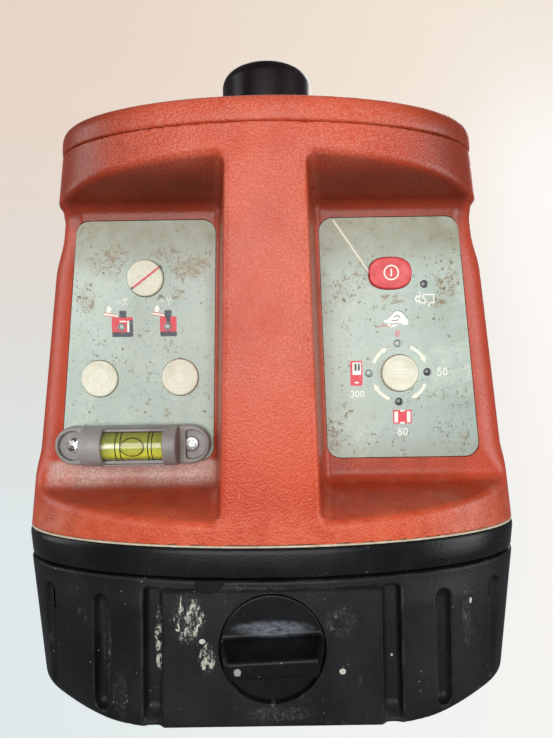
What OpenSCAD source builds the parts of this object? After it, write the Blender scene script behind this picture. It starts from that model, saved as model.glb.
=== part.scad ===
// Rotating laser level: self-levelling rotary head, two keypads, battery foot with a turn lock.
// Frame: +Z is the rotation axis, the front faces -Y, the origin is on the tripod thread's axis
// in the plane of the rubber feet. Millimetres.

/* [Casing] */
// Half width of the casing where it meets the base frame
base_half_w = 77.6; // [75:0.1:80]
// Half width of the casing under the top cap
top_half_w = 65; // [63:0.5:68]
// How far the front face bulges forward of the widest line
front_bulge = 31; // [29:0.5:32]
// Distance from the rotation axis to the front face
axis_to_front = 64; // [63.5:0.5:66]
// Distance from the rotation axis to the back of the casing
axis_to_back = 66; // [66:0.5:70]
// Overall depth from the front face to the back of the handle
total_depth = 190; // [186:1:196]
// Wall thickness of the moulded shells
wall = 3; // [2.8:0.1:3.2]
// Depth of the keypad recesses behind the front face
recess_depth = 24; // [23.5:0.1:24.5]

/* [Levels] */
// Height of the lower edge of the base frame
frame_z0 = 41; // [41:0.5:42]
// Height of the lower edge of the red casing
casing_z0 = 50.1; // [50.1:0.1:51]
// Height of the seam between casing and top cap
casing_z1 = 165; // [165:0.5:168]
// Height of the top of the cap
cap_top = 174; // [174:0.5:177]
// Height of the top of the rotating head
head_top = 208.5; // [204:0.5:210]

/* [Rotating head] */
// Outer radius of the rotating head
head_r = 16.7; // [16:0.1:17]
// Height of the gimbal centre
gimbal_z = 118; // [118:0.5:119]
// Inner radius of the rubber collar round the head
collar_r = 24.6; // [24.4:0.1:26]

/* [Keys and lock] */
// Radius of the round keys
key_r = 5.7; // [5.5:0.1:5.8]
// Radius of the lock knob
knob_r = 14.6; // [14:0.1:14.8]
// How far the knob's grip bar stands out of the knob
bar_reach = 11.5; // [8:0.5:12]
// Radius of the tapped hole in the tripod insert (5/8 inch 11 UNC tap drill)
tripod_r = 6.75; // [6.7:0.05:6.8]

/* [Hidden] */

$fn = 64;
casing_red = [0.80, 0.22, 0.14];
foot_black = [0.09, 0.09, 0.10];
rubber_black = [0.05, 0.05, 0.05];
foil_grey = [0.66, 0.72, 0.68];
key_white = [0.88, 0.88, 0.82];
lamp_grey = [0.20, 0.21, 0.23];
holder_grey = [0.52, 0.50, 0.50];
steel = [0.70, 0.71, 0.72];
alloy = [0.78, 0.79, 0.80];
board_green = [0.10, 0.35, 0.20];
brass = [0.80, 0.66, 0.32];

widest_y = front_bulge - axis_to_front;
body_back = axis_to_back - widest_y;
full_back = total_depth - axis_to_front - widest_y;
body_power = 4;
full_power = 2.5;
plan_step = 6;

// Battery foot
foot_z0 = 0.5;
foot_z1 = 40.2;
foot_half_w0 = 73;
foot_half_w1 = 77.2;
foot_wall = 2.5;
spigot_inset = 3.9;
spigot_z1 = 42.8;
ledge_z0 = 36.4;

// Base frame and gasket
frame_z1 = 49.2;
frame_floor_z = 45.2;

// Keypad recesses: the pillar between them widens downwards
recess_y = recess_depth - axis_to_front;
recess_top_front = 157.7;
recess_top_back = 149.2;
recess_low_front = 55.7;
recess_low_back = 63.6;
pillar_top = 11;
pillar_low = 13.8;
foot_of_wall_top = 14.8;
foot_of_wall_low = 17;

// Keypad foils
foil_top = 144.8;
foil_low = 69.3;
foil_corner = 4.4;
foil_in_top = 15.9;
foil_in_low = 17.9;
foil_out_top = 59.6;
foil_out_low = 65.9;
foil_sink = 0.3;
foil_t = 1.1;
foil_y = recess_y + foil_sink;
pocket_y = foil_y + foil_t;
wall_inner_y = recess_y + wall;

// Keys: [x, z] of each centre
cancel_at = [-38.4, 126.6];
axis_x_at = [-53.2, 95.4];
axis_y_at = [-28.0, 95.5];
power_at = [38.2, 127.1];
speed_at = [40.9, 95.8];
key_proud = 0.9;
key_travel = 0.6;
key_gap = 0.2;
key_spots = [cancel_at, axis_x_at, axis_y_at, speed_at];
all_key_spots = concat(key_spots, [power_at]);
power_w = 13.3;
power_h = 10;
flange_y = wall_inner_y + 0.7;
switch_top = wall_inner_y + 2.4;
stem_y = switch_top - key_travel - key_gap;
board_y = wall_inner_y + 4.4;
board_t = 1.2;

// Lamp lenses: [x, z]
left_lamps = [[-46.2, 111.5], [-31.7, 111.4]];
right_lamps = [[48.9, 123.6], [40.4, 105.1], [49.6, 96.0], [31.3, 95.8], [40.6, 86.8]];
lamp_r = 1.2;

// Bubble vial
vial_x = -42.6;
vial_z = 74.8;
vial_len = 48;
vial_h = 12;
vial_screw_gap = 36.3;
vial_r = 4.3;
vial_y = foil_y - 4.6;
window_len = 19;

// Laser unit
carrier_r = 17;
carrier_bore = 13;
carrier_z0 = 80;
carrier_z1 = 148;
shaft_r = 9;
pulley_r = 18;
pinion_r = 4;
motor_y = 30;
belt_gap = 0.05;
belt_t = 1.2;
pulley_z0 = 149;
pulley_z1 = 154;

// Levelling drives
lever = 40;
motor_r = 7.3;
chassis_z0 = 50.6;
chassis_t = 3.4;
chassis_top = chassis_z0 + chassis_t;
screw_r = 2;
nut_r = 5;
screw_clear = 0.08;
guide_off = 9;
guide_r = 1.5;
arm_x_z = 106;
arm_y_z = 98;
arm_gap = 0.9;

// Lock
knob_z = 21;
panel_y = 2.5 - axis_to_front;
panel_low_y = 0.6 - axis_to_front;
panel_edge = 31;
recess_edge = 35.6;
recess_z1 = 37.6;
knob_face = panel_y - 0.3;
knob_back = knob_face + 5;
cam_y0 = -46;
cam_y1 = -42;

// Battery cells (D size)
cell_r = 17;
cell_len = 61.5;
cell_x = 39;
cell_z = 20.3;
cell_y0 = -46;
lid_z0 = 37.5;
lid_z1 = 39.1;
pin_y = 56;

// ---------- shared shapes ----------

// Signed power, used by the rounded plan outlines
function spow(v, p) = sign(v) * pow(abs(v), p);

// Plan outline: half an ellipse in front, a fuller rounded end behind
function plan(a, back, power, inset) = concat(
    [for (t = [180 : plan_step : 360])
        [(a - inset) * cos(t), widest_y + (front_bulge - inset) * sin(t)]],
    [for (t = [plan_step : plan_step : 180 - plan_step])
        [(a - inset) * spow(cos(t), 2 / power),
            widest_y + (back - inset) * spow(sin(t), 2 / power)]]);

// Solid over a plan outline whose width changes evenly with height
module tapered(z0, z1, a0, a1, back, power, inset = 0) {
    translate([0, 0, z0])
        linear_extrude(height = z1 - z0, scale = [(a1 - inset) / (a0 - inset), 1], slices = 1)
            polygon(plan(a0, back, power, inset));
}

// Casing half width at a height
function casing_w(z) = base_half_w
    + (top_half_w - base_half_w) * (z - casing_z0) / (casing_z1 - casing_z0);

// Cylinder along Y between y0 and y1
module ycyl(x, z, y0, y1, r) {
    translate([x, y1, z])
        rotate([90, 0, 0])
            cylinder(h = y1 - y0, r = r);
}

// Plate in the XZ plane between y0 and y1, from a flat shape drawn as [x, z]
module yplate(y0, y1) {
    translate([0, y1, 0])
        rotate([90, 0, 0])
            linear_extrude(height = y1 - y0)
                children();
}

// Upright cylinder between z0 and z1
module post(x, y, z0, z1, r) {
    translate([x, y, z0])
        cylinder(h = z1 - z0, r = r);
}

// Bar along X between x0 and x1 whose section is drawn as [y, z]
module xbar(x0, x1, points) {
    translate([x0, 0, 0])
        rotate([90, 0, 90])
            linear_extrude(height = x1 - x0)
                polygon(points);
}

// Block between two corners
module block(lo, hi) {
    translate(lo)
        cube([for (i = [0 : 2]) hi[i] - lo[i]]);
}

// Ring between two radii
module ring(z0, z1, r_out, r_in) {
    difference() {
        post(0, 0, z0, z1, r_out);
        post(0, 0, z0 - 1, z1 + 1, r_in);
    }
}

// Pan-head screw driven in from the back, its head's face at y
module back_screw(x, y, z, length) {
    ycyl(x, z, y - 1.8, y, 2.8);
    ycyl(x, z, y - length, y - 1.8, 1.2);
}

// ---------- red casing ----------

// One keypad recess, right side; grow widens it to make the wall behind it
module recess(grow = 0) {
    far = base_half_w + 14;
    hull() {
        yplate(-axis_to_front - 3, -axis_to_front)
            polygon([[pillar_top - grow, recess_top_front + grow],
                [far, recess_top_front + grow],
                [far, recess_low_front - grow],
                [pillar_low - grow, recess_low_front - grow]]);
        yplate(recess_y + grow - 0.01, recess_y + grow)
            polygon([[foot_of_wall_top - grow, recess_top_back + grow],
                [far, recess_top_back + grow],
                [far, recess_low_back - grow],
                [foot_of_wall_low - grow, recess_low_back - grow]]);
    }
}

// Keypad foil outline on the right side, drawn as [x, z]
module foil_outline(shrink = 0) {
    offset(r = foil_corner - shrink, $fn = 32)
        offset(delta = -foil_corner)
            polygon([[foil_in_top, foil_top], [foil_out_top, foil_top],
                [foil_out_low, foil_low], [foil_in_low, foil_low]]);
}

// Rounded power key outline, drawn as [x, z]
module power_outline(grow = 0) {
    translate(power_at)
        hull()
            for (s = [-1, 1])
                translate([s * (power_w - power_h) / 2, 0])
                    circle(r = power_h / 2 + grow, $fn = 32);
}

// Holes for the key stems and the vial's screws through the recess wall
module key_windows() {
    for (p = key_spots)
        ycyl(p[0], p[1], recess_y - 1, wall_inner_y + 1, key_r + key_gap);
    for (s = [-1, 1])
        ycyl(vial_x + s * vial_screw_gap / 2, vial_z, recess_y - 1, wall_inner_y + 1, 1.25);
    yplate(recess_y - 1, wall_inner_y + 1)
        power_outline(key_gap);
}

module casing_skin(inset) {
    tapered(casing_z0, casing_z1, base_half_w - 0.4, top_half_w, body_back, body_power, inset);
}

split_y = 10;

// Screws that close the casing: [x, z]
back_screw_spots = [[-60, 70], [60, 70], [-54, 146], [54, 146]];
screw_seat_y = 16;

module front_casing() {
    color(casing_red) {
        for (p = back_screw_spots)
            difference() {
                ycyl(p[0], p[1], wall_inner_y - 0.1, split_y, 4);
                ycyl(p[0], p[1], -12, split_y + 1, 1.25);
            }
        difference() {
            intersection() {
                casing_skin(0);
                block([-90, -90, 0], [90, split_y, 200]);
            }
            difference() {
                casing_skin(wall);
                recess(wall);
                mirror([1, 0, 0])
                    recess(wall);
            }
            recess();
            mirror([1, 0, 0])
                recess();
            yplate(recess_y - 1, pocket_y)
                foil_outline();
            mirror([1, 0, 0])
                yplate(recess_y - 1, pocket_y)
                    foil_outline();
            key_windows();
        }
    }
}

module rear_cover() {
    color(casing_red)
        difference() {
            union() {
                difference() {
                    intersection() {
                        casing_skin(0);
                        block([-90, split_y, 0], [90, 90, 200]);
                    }
                    casing_skin(wall);
                }
                intersection() {
                    casing_skin(1);
                    union() {
                        for (p = back_screw_spots)
                            ycyl(p[0], p[1], split_y, axis_to_back, 5);
                        for (x = [-34, 34])
                            for (z = [74, 142])
                                ycyl(x, z, axis_to_back - 8, axis_to_back, 3);
                    }
                }
            }
            for (p = back_screw_spots) {
                ycyl(p[0], p[1], split_y - 1, axis_to_back + 1, 1.4);
                ycyl(p[0], p[1], screw_seat_y, axis_to_back + 1, 3);
            }
        }
}

module casing_screws() {
    color(steel)
        for (p = back_screw_spots)
            back_screw(p[0], screw_seat_y + 1.8, p[1], 26);
}

module top_cap() {
    lip = casing_z1 - 2.5;
    color(casing_red)
        difference() {
            union() {
                tapered(casing_z1, casing_z1 + 6, top_half_w, top_half_w - 0.4,
                    full_back, full_power);
                tapered(casing_z1 + 6, cap_top, top_half_w - 0.4, top_half_w - 3,
                    full_back, full_power, 1.2);
                tapered(lip, casing_z1 + 0.1, top_half_w + 0.2, top_half_w,
                    body_back, body_power, wall + 0.3);
            }
            tapered(lip - 1, casing_z1 + 3, top_half_w, top_half_w - 0.2,
                body_back, body_power, wall + 2.5);
            post(0, 0, lip - 2, cap_top + 1, collar_r + 1);
            for (x = [-9, 9]) {
                post(x, grip_screw_y, casing_z1 - 1, cap_top + 1, 1.7);
                post(x, grip_screw_y, cap_top - 2, cap_top + 1, 3.3);
            }
        }
}

module head_collar() {
    rim = collar_r + 4.6;
    top = cap_top + 2.4;
    color(rubber_black)
        difference() {
            union() {
                ring(cap_top, top, rim, collar_r);
                ring(casing_z1 + 4, cap_top, collar_r + 1, collar_r);
            }
            rotate_extrude()
                polygon([[rim - 2, top + 0.1], [rim + 0.1, top + 0.1], [rim + 0.1, cap_top + 0.8]]);
        }
}

// ---------- base frame, gasket and handle ----------

module base_gasket() {
    color([0.85, 0.82, 0.74])
        difference() {
            tapered(frame_z1, casing_z0, base_half_w - 0.1, base_half_w - 0.2,
                body_back, body_power);
            tapered(frame_z1 - 1, casing_z0 + 1, base_half_w - 0.1, base_half_w - 0.2,
                body_back, body_power, wall);
        }
}

module base_frame() {
    color(foot_black)
        difference() {
            tapered(frame_z0, frame_z1, base_half_w - 0.7, base_half_w, full_back, full_power);
            tapered(frame_z0 - 1, frame_floor_z, base_half_w - 0.8, base_half_w - 0.7,
                full_back, full_power, wall);
            for (x = [-9, 9]) {
                post(x, grip_screw_y, frame_floor_z - 1, frame_z1 + 1, 1.7);
                post(x, grip_screw_y, frame_floor_z - 1, frame_floor_z + 2, 3.3);
            }
            for (s = [-1, 1])
                post(s * cell_x, pin_y, frame_floor_z - 1, frame_z1 + 1, 2.6);
            for (p = chassis_pads)
                post(p[0], p[1], frame_floor_z - 1, frame_z1 + 1, 1.3);
        }
}

handle_w = 34;
grip_screw_y = 113;
handle_y0 = 100;
handle_y1 = total_depth - axis_to_front - 0.8;
handle_round = 8;

module carry_handle() {
    color(foot_black)
        difference() {
            translate([0, 0, frame_z1])
                linear_extrude(height = casing_z1 - frame_z1)
                    hull()
                        for (x = [-1, 1])
                            for (y = [handle_y0 + handle_round, handle_y1 - handle_round])
                                translate([x * (handle_w / 2 - handle_round), y])
                                    circle(r = handle_round, $fn = 32);
            block([-handle_w, handle_y0 - 1, 62], [handle_w, handle_y0 + 3, 152]);
            for (x = [-9, 9])
                for (z = [frame_z1 - 1, casing_z1 - 14])
                    post(x, grip_screw_y, z, z + 15, 1.3);
            for (z = [60, 140])
                block([-10, handle_y1 - 1.5, z], [10, handle_y1 + 1, z + 16]);
        }
}

// Soft insert on the finger side of the handle, with finger waves
module handle_grip() {
    color(rubber_black)
        difference() {
            translate([0, 0, 62])
                linear_extrude(height = 90)
                    hull()
                        for (x = [-1, 1])
                            for (y = [handle_y0 + 1.6, handle_y0 + 3])
                                translate([x * (handle_w / 2 - 3), y])
                                    circle(r = 2, $fn = 24);
            block([-handle_w, handle_y0 + 3, 50], [handle_w, handle_y0 + 9, 170]);
            for (i = [0 : 3])
                translate([0, handle_y0 - 10.2, 73.5 + i * 22.5])
                    rotate([0, 90, 0])
                        cylinder(h = 60, r = 11, center = true);
        }
}

module handle_screws() {
    color(steel)
        for (x = [-9, 9]) {
            post(x, grip_screw_y, cap_top - 2, cap_top, 3);
            post(x, grip_screw_y, casing_z1 - 12, cap_top - 2, 1.3);
            post(x, grip_screw_y, frame_floor_z, frame_floor_z + 2, 3);
            post(x, grip_screw_y, frame_floor_z + 2, frame_z1 + 12, 1.3);
        }
}

// Rubber strips the instrument lies on when it is used on its back
module rear_pads() {
    color(rubber_black)
        for (z = [60, 140])
            block([-10, handle_y1 - 1.5, z], [10, handle_y1 + 0.8, z + 16]);
}

// ---------- keypads ----------

module lamp_holes(spots) {
    for (p = spots)
        ycyl(p[0], p[1], foil_y - 1, pocket_y + 1, lamp_r + 0.05);
}

module right_keypad() {
    color(foil_grey)
        difference() {
            yplate(foil_y, pocket_y)
                foil_outline(0.15);
            ycyl(speed_at[0], speed_at[1], foil_y - 1, pocket_y + 1, key_r + key_gap);
            yplate(foil_y - 1, pocket_y + 1)
                power_outline(key_gap);
            lamp_holes(right_lamps);
        }
}

module left_keypad() {
    color(foil_grey)
        difference() {
            mirror([1, 0, 0])
                yplate(foil_y, pocket_y)
                    foil_outline(0.15);
            for (p = [cancel_at, axis_x_at, axis_y_at])
                ycyl(p[0], p[1], foil_y - 1, pocket_y + 1, key_r + key_gap);
            lamp_holes(left_lamps);
            for (s = [-1, 1])
                ycyl(vial_x + s * vial_screw_gap / 2, vial_z, foil_y - 1, pocket_y + 1, 1.3);
        }
}

module lamp_lenses() {
    color(lamp_grey)
        for (p = concat(left_lamps, right_lamps))
            ycyl(p[0], p[1], foil_y - 0.3, pocket_y, lamp_r);
}

module key_boards() {
    color(board_green)
        for (s = [-1, 1])
            block([s > 0 ? 17 : -58, board_y, 78], [s > 0 ? 58 : -17, board_y + board_t, 140]);
}

module key_switches() {
    color(rubber_black)
        for (p = all_key_spots) {
            block([p[0] - 3, switch_top + 0.6, p[1] - 3], [p[0] + 3, board_y, p[1] + 3]);
            ycyl(p[0], p[1], switch_top, switch_top + 0.7, 1.6);
        }
}

// Key: cap, retaining flange behind the wall, stem to its switch
module round_key(p) {
    ycyl(p[0], p[1], foil_y - key_proud, wall_inner_y + 0.3, key_r);
    ycyl(p[0], p[1], wall_inner_y + 0.05, flange_y, key_r + 1);
    ycyl(p[0], p[1], flange_y - 0.1, stem_y, 2);
}

module cancel_key() {
    color(key_white)
        round_key(cancel_at);
}

module axis_key_x() {
    color(key_white)
        round_key(axis_x_at);
}

module axis_key_y() {
    color(key_white)
        round_key(axis_y_at);
}

module speed_key() {
    color(key_white)
        round_key(speed_at);
}

module power_key() {
    color([0.86, 0.16, 0.22]) {
        yplate(foil_y - key_proud, wall_inner_y + 0.3)
            power_outline();
        yplate(wall_inner_y + 0.05, flange_y)
            power_outline(1);
        ycyl(power_at[0], power_at[1], flange_y - 0.1, stem_y, 2);
    }
}

// ---------- bubble vial ----------

module vial_holder() {
    barrel_half = 14.4;
    color(holder_grey)
        difference() {
            union() {
                yplate(foil_y - 2.6, foil_y)
                    hull()
                        for (s = [-1, 1])
                            translate([vial_x + s * (vial_len - vial_h) / 2, vial_z])
                                circle(r = vial_h / 2, $fn = 32);
                translate([vial_x, vial_y, vial_z])
                    rotate([0, 90, 0])
                        cylinder(h = 2 * barrel_half, r = 6, center = true);
            }
            block([vial_x - 30, recess_y, 50], [vial_x + 30, recess_y + 20, 90]);
            translate([vial_x, vial_y, vial_z])
                rotate([0, 90, 0])
                    cylinder(h = 26, r = vial_r + 0.1, center = true);
            block([vial_x - window_len / 2, vial_y - 9, vial_z - 5],
                [vial_x + window_len / 2, vial_y - 0.5, vial_z + 5]);
            for (s = [-1, 1]) {
                ycyl(vial_x + s * vial_screw_gap / 2, vial_z, foil_y - 9, foil_y - 1.4, 2.5);
                ycyl(vial_x + s * vial_screw_gap / 2, vial_z, foil_y - 2, foil_y + 1, 1.25);
            }
        }
}

module vial_tube() {
    color([0.78, 0.85, 0.12, 0.7])
        difference() {
            translate([vial_x, vial_y, vial_z])
                rotate([0, 90, 0])
                    cylinder(h = 25, r = vial_r, center = true);
            bubble_shape(0.02);
        }
}

// Bubble: a long drop that floats at the front of the tube
module bubble_shape(grow) {
    translate([vial_x - 2, vial_y - 1.7, vial_z]) {
        rotate([0, 90, 0])
            cylinder(h = 3.4, r = 1.9 + grow, center = true);
        for (s = [-1, 1])
            translate([s * 1.7, 0, 0])
                sphere(r = 1.9 + grow);
    }
}

module vial_bubble() {
    color([0.9, 0.95, 0.6, 0.4])
        bubble_shape(0);
}

module vial_screws() {
    color(steel)
        for (s = [-1, 1]) {
            ycyl(vial_x + s * vial_screw_gap / 2, vial_z, foil_y - 2.8, foil_y - 1.4, 2.3);
            ycyl(vial_x + s * vial_screw_gap / 2, vial_z, foil_y - 1.4, pocket_y + 1.2, 1.2);
        }
}

// ---------- chassis and electronics ----------

// Pads the chassis is screwed down on: [x, y]
chassis_pads = [[-45, -22], [45, -22], [-45, 46], [45, 46]];

module chassis() {
    yoke_r = 29;
    yoke_in = 24.5;
    color(alloy)
        difference() {
            union() {
                block([-50, -28, chassis_z0], [50, 52, chassis_top]);
                for (p = chassis_pads)
                    post(p[0], p[1], frame_z1, chassis_z0 + 0.1, 5);
                for (a = [45, 135, 225, 315])
                    post(30.5 * cos(a), 30.5 * sin(a), chassis_z0, gimbal_z + 4, 3.4);
                ring(gimbal_z - 4, gimbal_z + 4, yoke_r, yoke_in);
                post(guide_off, lever, chassis_z0, arm_x_z + 6, guide_r);
                post(lever, guide_off, chassis_z0, arm_y_z + 6, guide_r);
            }
            translate([0, 0, gimbal_z])
                rotate([0, 90, 0])
                    cylinder(h = 80, r = 1.53, center = true);
            for (p = chassis_pads)
                post(p[0], p[1], frame_z1 - 1, chassis_top + 1, 1.3);
        }
}

module frame_screws() {
    color(steel)
        for (p = chassis_pads) {
            post(p[0], p[1], frame_floor_z - 1.8, frame_floor_z, 2.8);
            post(p[0], p[1], frame_floor_z, chassis_top - 0.4, 1.25);
        }
}

module main_board() {
    color(board_green) {
        block([-40, axis_to_back - 9.6, 68], [40, axis_to_back - 8, 147]);
        block([-20, axis_to_back - 11.2, 100], [-6, axis_to_back - 9.6, 114]);
        block([6, axis_to_back - 12, 84], [22, axis_to_back - 9.6, 92]);
    }
}

module level_motors() {
    color(steel)
        for (p = [[0, lever], [lever, 0]])
            difference() {
                post(p[0], p[1], chassis_top, chassis_top + 20, motor_r);
                post(p[0], p[1], chassis_top + 16, chassis_top + 21, screw_r + screw_clear);
            }
}

// Drive screw standing in its motor
module level_screw(x, y, top) {
    color(brass)
        post(x, y, chassis_top + 16.2, top, screw_r);
}

module level_screw_x() {
    level_screw(0, lever, arm_x_z - 5.6);
}

module level_screw_y() {
    level_screw(lever, 0, arm_y_z - 5.6);
}

// Nut that climbs the screw, with an ear round the guide post
module level_nut(x, y, ear_x, ear_y, top) {
    color(key_white)
        difference() {
            union() {
                post(x, y, top - 10, top, nut_r);
                post(ear_x, ear_y, top - 10, top - 5, 3.2);
                block([min(x, ear_x) - 1.5, min(y, ear_y) - 1.5, top - 10],
                    [max(x, ear_x) + 1.5, max(y, ear_y) + 1.5, top - 5]);
            }
            post(x, y, top - 11, top - 1.2, screw_r + screw_clear);
            post(ear_x, ear_y, top - 11, top - 4, guide_r + 0.15);
        }
}

module level_nut_x() {
    level_nut(0, lever, guide_off, lever, arm_x_z - arm_gap);
}

module level_nut_y() {
    level_nut(lever, 0, lever, guide_off, arm_y_z - arm_gap);
}

// ---------- gimbal and laser unit ----------

module gimbal_ring() {
    color(alloy)
        difference() {
            union() {
                ring(gimbal_z - 3, gimbal_z + 3, 23.8, 20);
                block([-4, 20.4, arm_x_z], [4, 23.4, gimbal_z - 2]);
                block([-4, 20.4, arm_x_z], [4, 44, arm_x_z + 3]);
            }
            translate([0, 0, gimbal_z])
                rotate([90, 0, 0])
                    cylinder(h = 80, r = 1.28, center = true);
            translate([0, 0, gimbal_z])
                rotate([0, 90, 0])
                    cylinder(h = 80, r = 1.5, center = true);
        }
}

module ring_pivots() {
    color(steel)
        for (s = [-1, 1])
            translate([s * 24.75, 0, gimbal_z])
                rotate([0, 90, 0])
                    cylinder(h = 7.9, r = 1.5, center = true);
}

module laser_carrier() {
    bracket_z = 145;
    color(alloy)
        difference() {
            union() {
                post(0, 0, carrier_z0, carrier_z1, carrier_r);
                block([14, -4, arm_y_z], [44, 4, arm_y_z + 3]);
                block([-9, 12, bracket_z], [9, motor_y, bracket_z + 3]);
                post(0, motor_y, bracket_z, bracket_z + 3, 9);
                block([-6, -18, 87], [6, -14, 95]);
                block([-18, -6, 87], [-14, 6, 95]);
            }
            post(0, 0, carrier_z0 - 1, carrier_z1 + 1, carrier_bore);
            post(0, motor_y, bracket_z - 1, bracket_z + 4, 2.2);
            translate([0, 0, gimbal_z])
                rotate([90, 0, 0])
                    cylinder(h = 80, r = 1.25, center = true);
        }
}

module carrier_pivots() {
    color(steel)
        for (s = [-1, 1])
            translate([0, s * 18.5, gimbal_z])
                rotate([90, 0, 0])
                    cylinder(h = 9.6, r = 1.25, center = true);
}

module laser_module() {
    color(brass)
        difference() {
            union() {
                post(0, 0, 84, 128, 9);
                for (z = [84, 110])
                    post(0, 0, z, z + 4, carrier_bore);
            }
            post(0, 0, 88, 130, 4);
            post(0, 0, 126, 130, 6.5);
        }
}

module laser_lens() {
    color([0.7, 0.85, 0.95, 0.5])
        post(0, 0, 126, 127.8, 6.5);
}

module tilt_sensors() {
    color([0.85, 0.85, 0.8]) {
        block([-9, -23, 88], [9, -18, 94]);
        block([-23, -9, 88], [-18, 9, 94]);
    }
}

module spin_motor() {
    color(steel) {
        post(0, motor_y, 127, 145, 8);
        post(0, motor_y, 144.9, pulley_z0 + 2.6, 1);
    }
}

module motor_pulley() {
    color(brass)
        difference() {
            post(0, motor_y, pulley_z0, pulley_z1, pinion_r);
            post(0, motor_y, pulley_z0 - 1, pulley_z0 + 3, 1.05);
        }
}

module belt_outline(grow) {
    hull() {
        circle(r = pulley_r + grow, $fn = 64);
        translate([0, motor_y])
            circle(r = pinion_r + grow, $fn = 32);
    }
}

module drive_belt() {
    color(rubber_black)
        translate([0, 0, pulley_z0 + 0.5])
            linear_extrude(height = 4)
                difference() {
                    belt_outline(belt_gap + belt_t);
                    belt_outline(belt_gap);
                }
}

module rotor_bearings() {
    color(steel)
        for (z = [134, 142])
            ring(z, z + 5, carrier_bore, shaft_r + 0.03);
}

module rotor_shaft() {
    color(alloy)
        difference() {
            union() {
                post(0, 0, 132, 172, shaft_r);
                post(0, 0, 168, 172, head_r - 2);
            }
            post(0, 0, 131, 173, 6);
        }
}

module rotor_pulley() {
    color(foot_black)
        ring(pulley_z0, pulley_z1, pulley_r, shaft_r);
}

// ---------- rotating head ----------

window_dir = 45;

module window_cut(grow) {
    rotate([0, 0, window_dir])
        translate([head_r - 2.5, -6.5 - grow, 184 - grow])
            cube([6, 13 + 2 * grow, 15 + 2 * grow]);
}

module head_cap() {
    rim = 4.5;
    color(rubber_black)
        difference() {
            union() {
                post(0, 0, 161, head_top - rim, head_r);
                translate([0, 0, head_top - rim])
                    rotate_extrude()
                        intersection() {
                            union() {
                                square([head_r - rim, rim]);
                                translate([head_r - rim, 0])
                                    circle(r = rim);
                            }
                            square([head_r, rim]);
                        }
            }
            post(0, 0, 160, head_top - 3, head_r - 2);
            post(0, 0, head_top - 4, head_top + 1, 4);
            window_cut(0);
        }
}

// Exit window in the side and the small plumb window on top
module head_window() {
    color([0.45, 0.2, 0.2, 0.5]) {
        post(0, 0, head_top - 2.4, head_top - 1, 4);
        intersection() {
            ring(184, 199, head_r - 0.4, head_r - 2);
            window_cut(0);
        }
    }
}

module head_prism() {
    s = 8;
    color([0.8, 0.9, 0.95, 0.5])
        translate([0, 0, 184])
            rotate([0, 0, window_dir])
                rotate([90, 0, 0])
                    linear_extrude(height = 12, center = true)
                        polygon([[-s, 0], [s, 0], [s, 14], [-s + 4, 16], [-s - 3, 9]]);
    color([0.3, 0.3, 0.3])
        ring(180, 184, head_r - 2, 6);
}

// ---------- battery foot ----------

module foot_skin(inset, z0, z1) {
    slope = (foot_half_w1 - foot_half_w0) / (foot_z1 - foot_z0);
    tapered(z0, z1, foot_half_w0 + slope * (z0 - foot_z0), foot_half_w0 + slope * (z1 - foot_z0),
        full_back, full_power, inset);
}

// Finger grooves round the foot: plan angle of each, mirrored left and right
groove_r = 2.3;
groove_z0 = 2.2;
groove_z1 = 34.6;
groove_turns = [50.5, 29, 6];
groove_back_y = [-8, 16, 40, 64];

module foot_grooves() {
    for (s = [-1, 1]) {
        for (t = groove_turns)
            post(s * (foot_half_w1 - 1) * cos(t), widest_y - (front_bulge + 0.6) * sin(t),
                groove_z0, groove_z1, groove_r);
        for (y = groove_back_y) {
            share = (y - widest_y) / full_back;
            post(s * (foot_half_w1 - 0.4) * pow(1 - pow(share, full_power), 1 / full_power), y,
                groove_z0, groove_z1, groove_r);
        }
    }
}

// Ledge under the battery lid, and the spigot that centres the foot in the base frame
module lid_seat() {
    difference() {
        union() {
            foot_skin(foot_wall - 0.5, ledge_z0, foot_z1);
            foot_skin(spigot_inset, foot_z1 - 1, spigot_z1);
        }
        foot_skin(spigot_inset + 2, lid_z0 - 0.1, spigot_z1 + 1);
        foot_skin(spigot_inset + 4, ledge_z0 - 1, lid_z0);
    }
}

module battery_housing() {
    color(foot_black)
        difference() {
            union() {
                difference() {
                    union() {
                        difference() {
                            foot_skin(0, foot_z0, foot_z1);
                            difference() {
                                foot_skin(foot_wall, foot_z0 + foot_wall, foot_z1 + 1);
                                block([-38, -70, 0], [38, -50, 50]);
                            }
                        }
                        lid_seat();
                    }
                    xbar(-recess_edge, recess_edge, [[-70, foot_z0], [panel_low_y, foot_z0],
                        [panel_y, recess_z1], [-70, recess_z1]]);
                    foot_grooves();
                }
                post(0, 0, foot_z0, 22, 15);
            }
            for (s = [-1, 1])
                block([s > 0 ? panel_edge : -recess_edge, -70, groove_z0],
                    [s > 0 ? recess_edge : -panel_edge, panel_y + 4, recess_z1]);
            ycyl(0, knob_z, -70, knob_back + 0.1, knob_r + 0.4);
            ycyl(0, knob_z, -70, -40, 4.05);
            post(0, 0, -1, 18.5, 11);
            for (p = feet_spots)
                post(p[0], p[1], -1, 2, 6);
        }
}

feet_spots = [[-46, -38], [46, -38], [-36, 84], [36, 84]];

module battery_feet() {
    color(rubber_black)
        for (p = feet_spots)
            post(p[0], p[1], 0, 2, 6);
}

module tripod_insert() {
    color(brass)
        difference() {
            post(0, 0, 0, 18.5, 11);
            post(0, 0, -1, 16.5, tripod_r);
        }
}

module battery_cells() {
    color([0.25, 0.45, 0.30])
        for (s = [-1, 1])
            for (i = [0, 1]) {
                y = cell_y0 + i * cell_len;
                ycyl(s * cell_x, cell_z, y + 1.5, y + cell_len - 0.1, cell_r);
                ycyl(s * cell_x, cell_z, y, y + 1.6, 5);
            }
}

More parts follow.
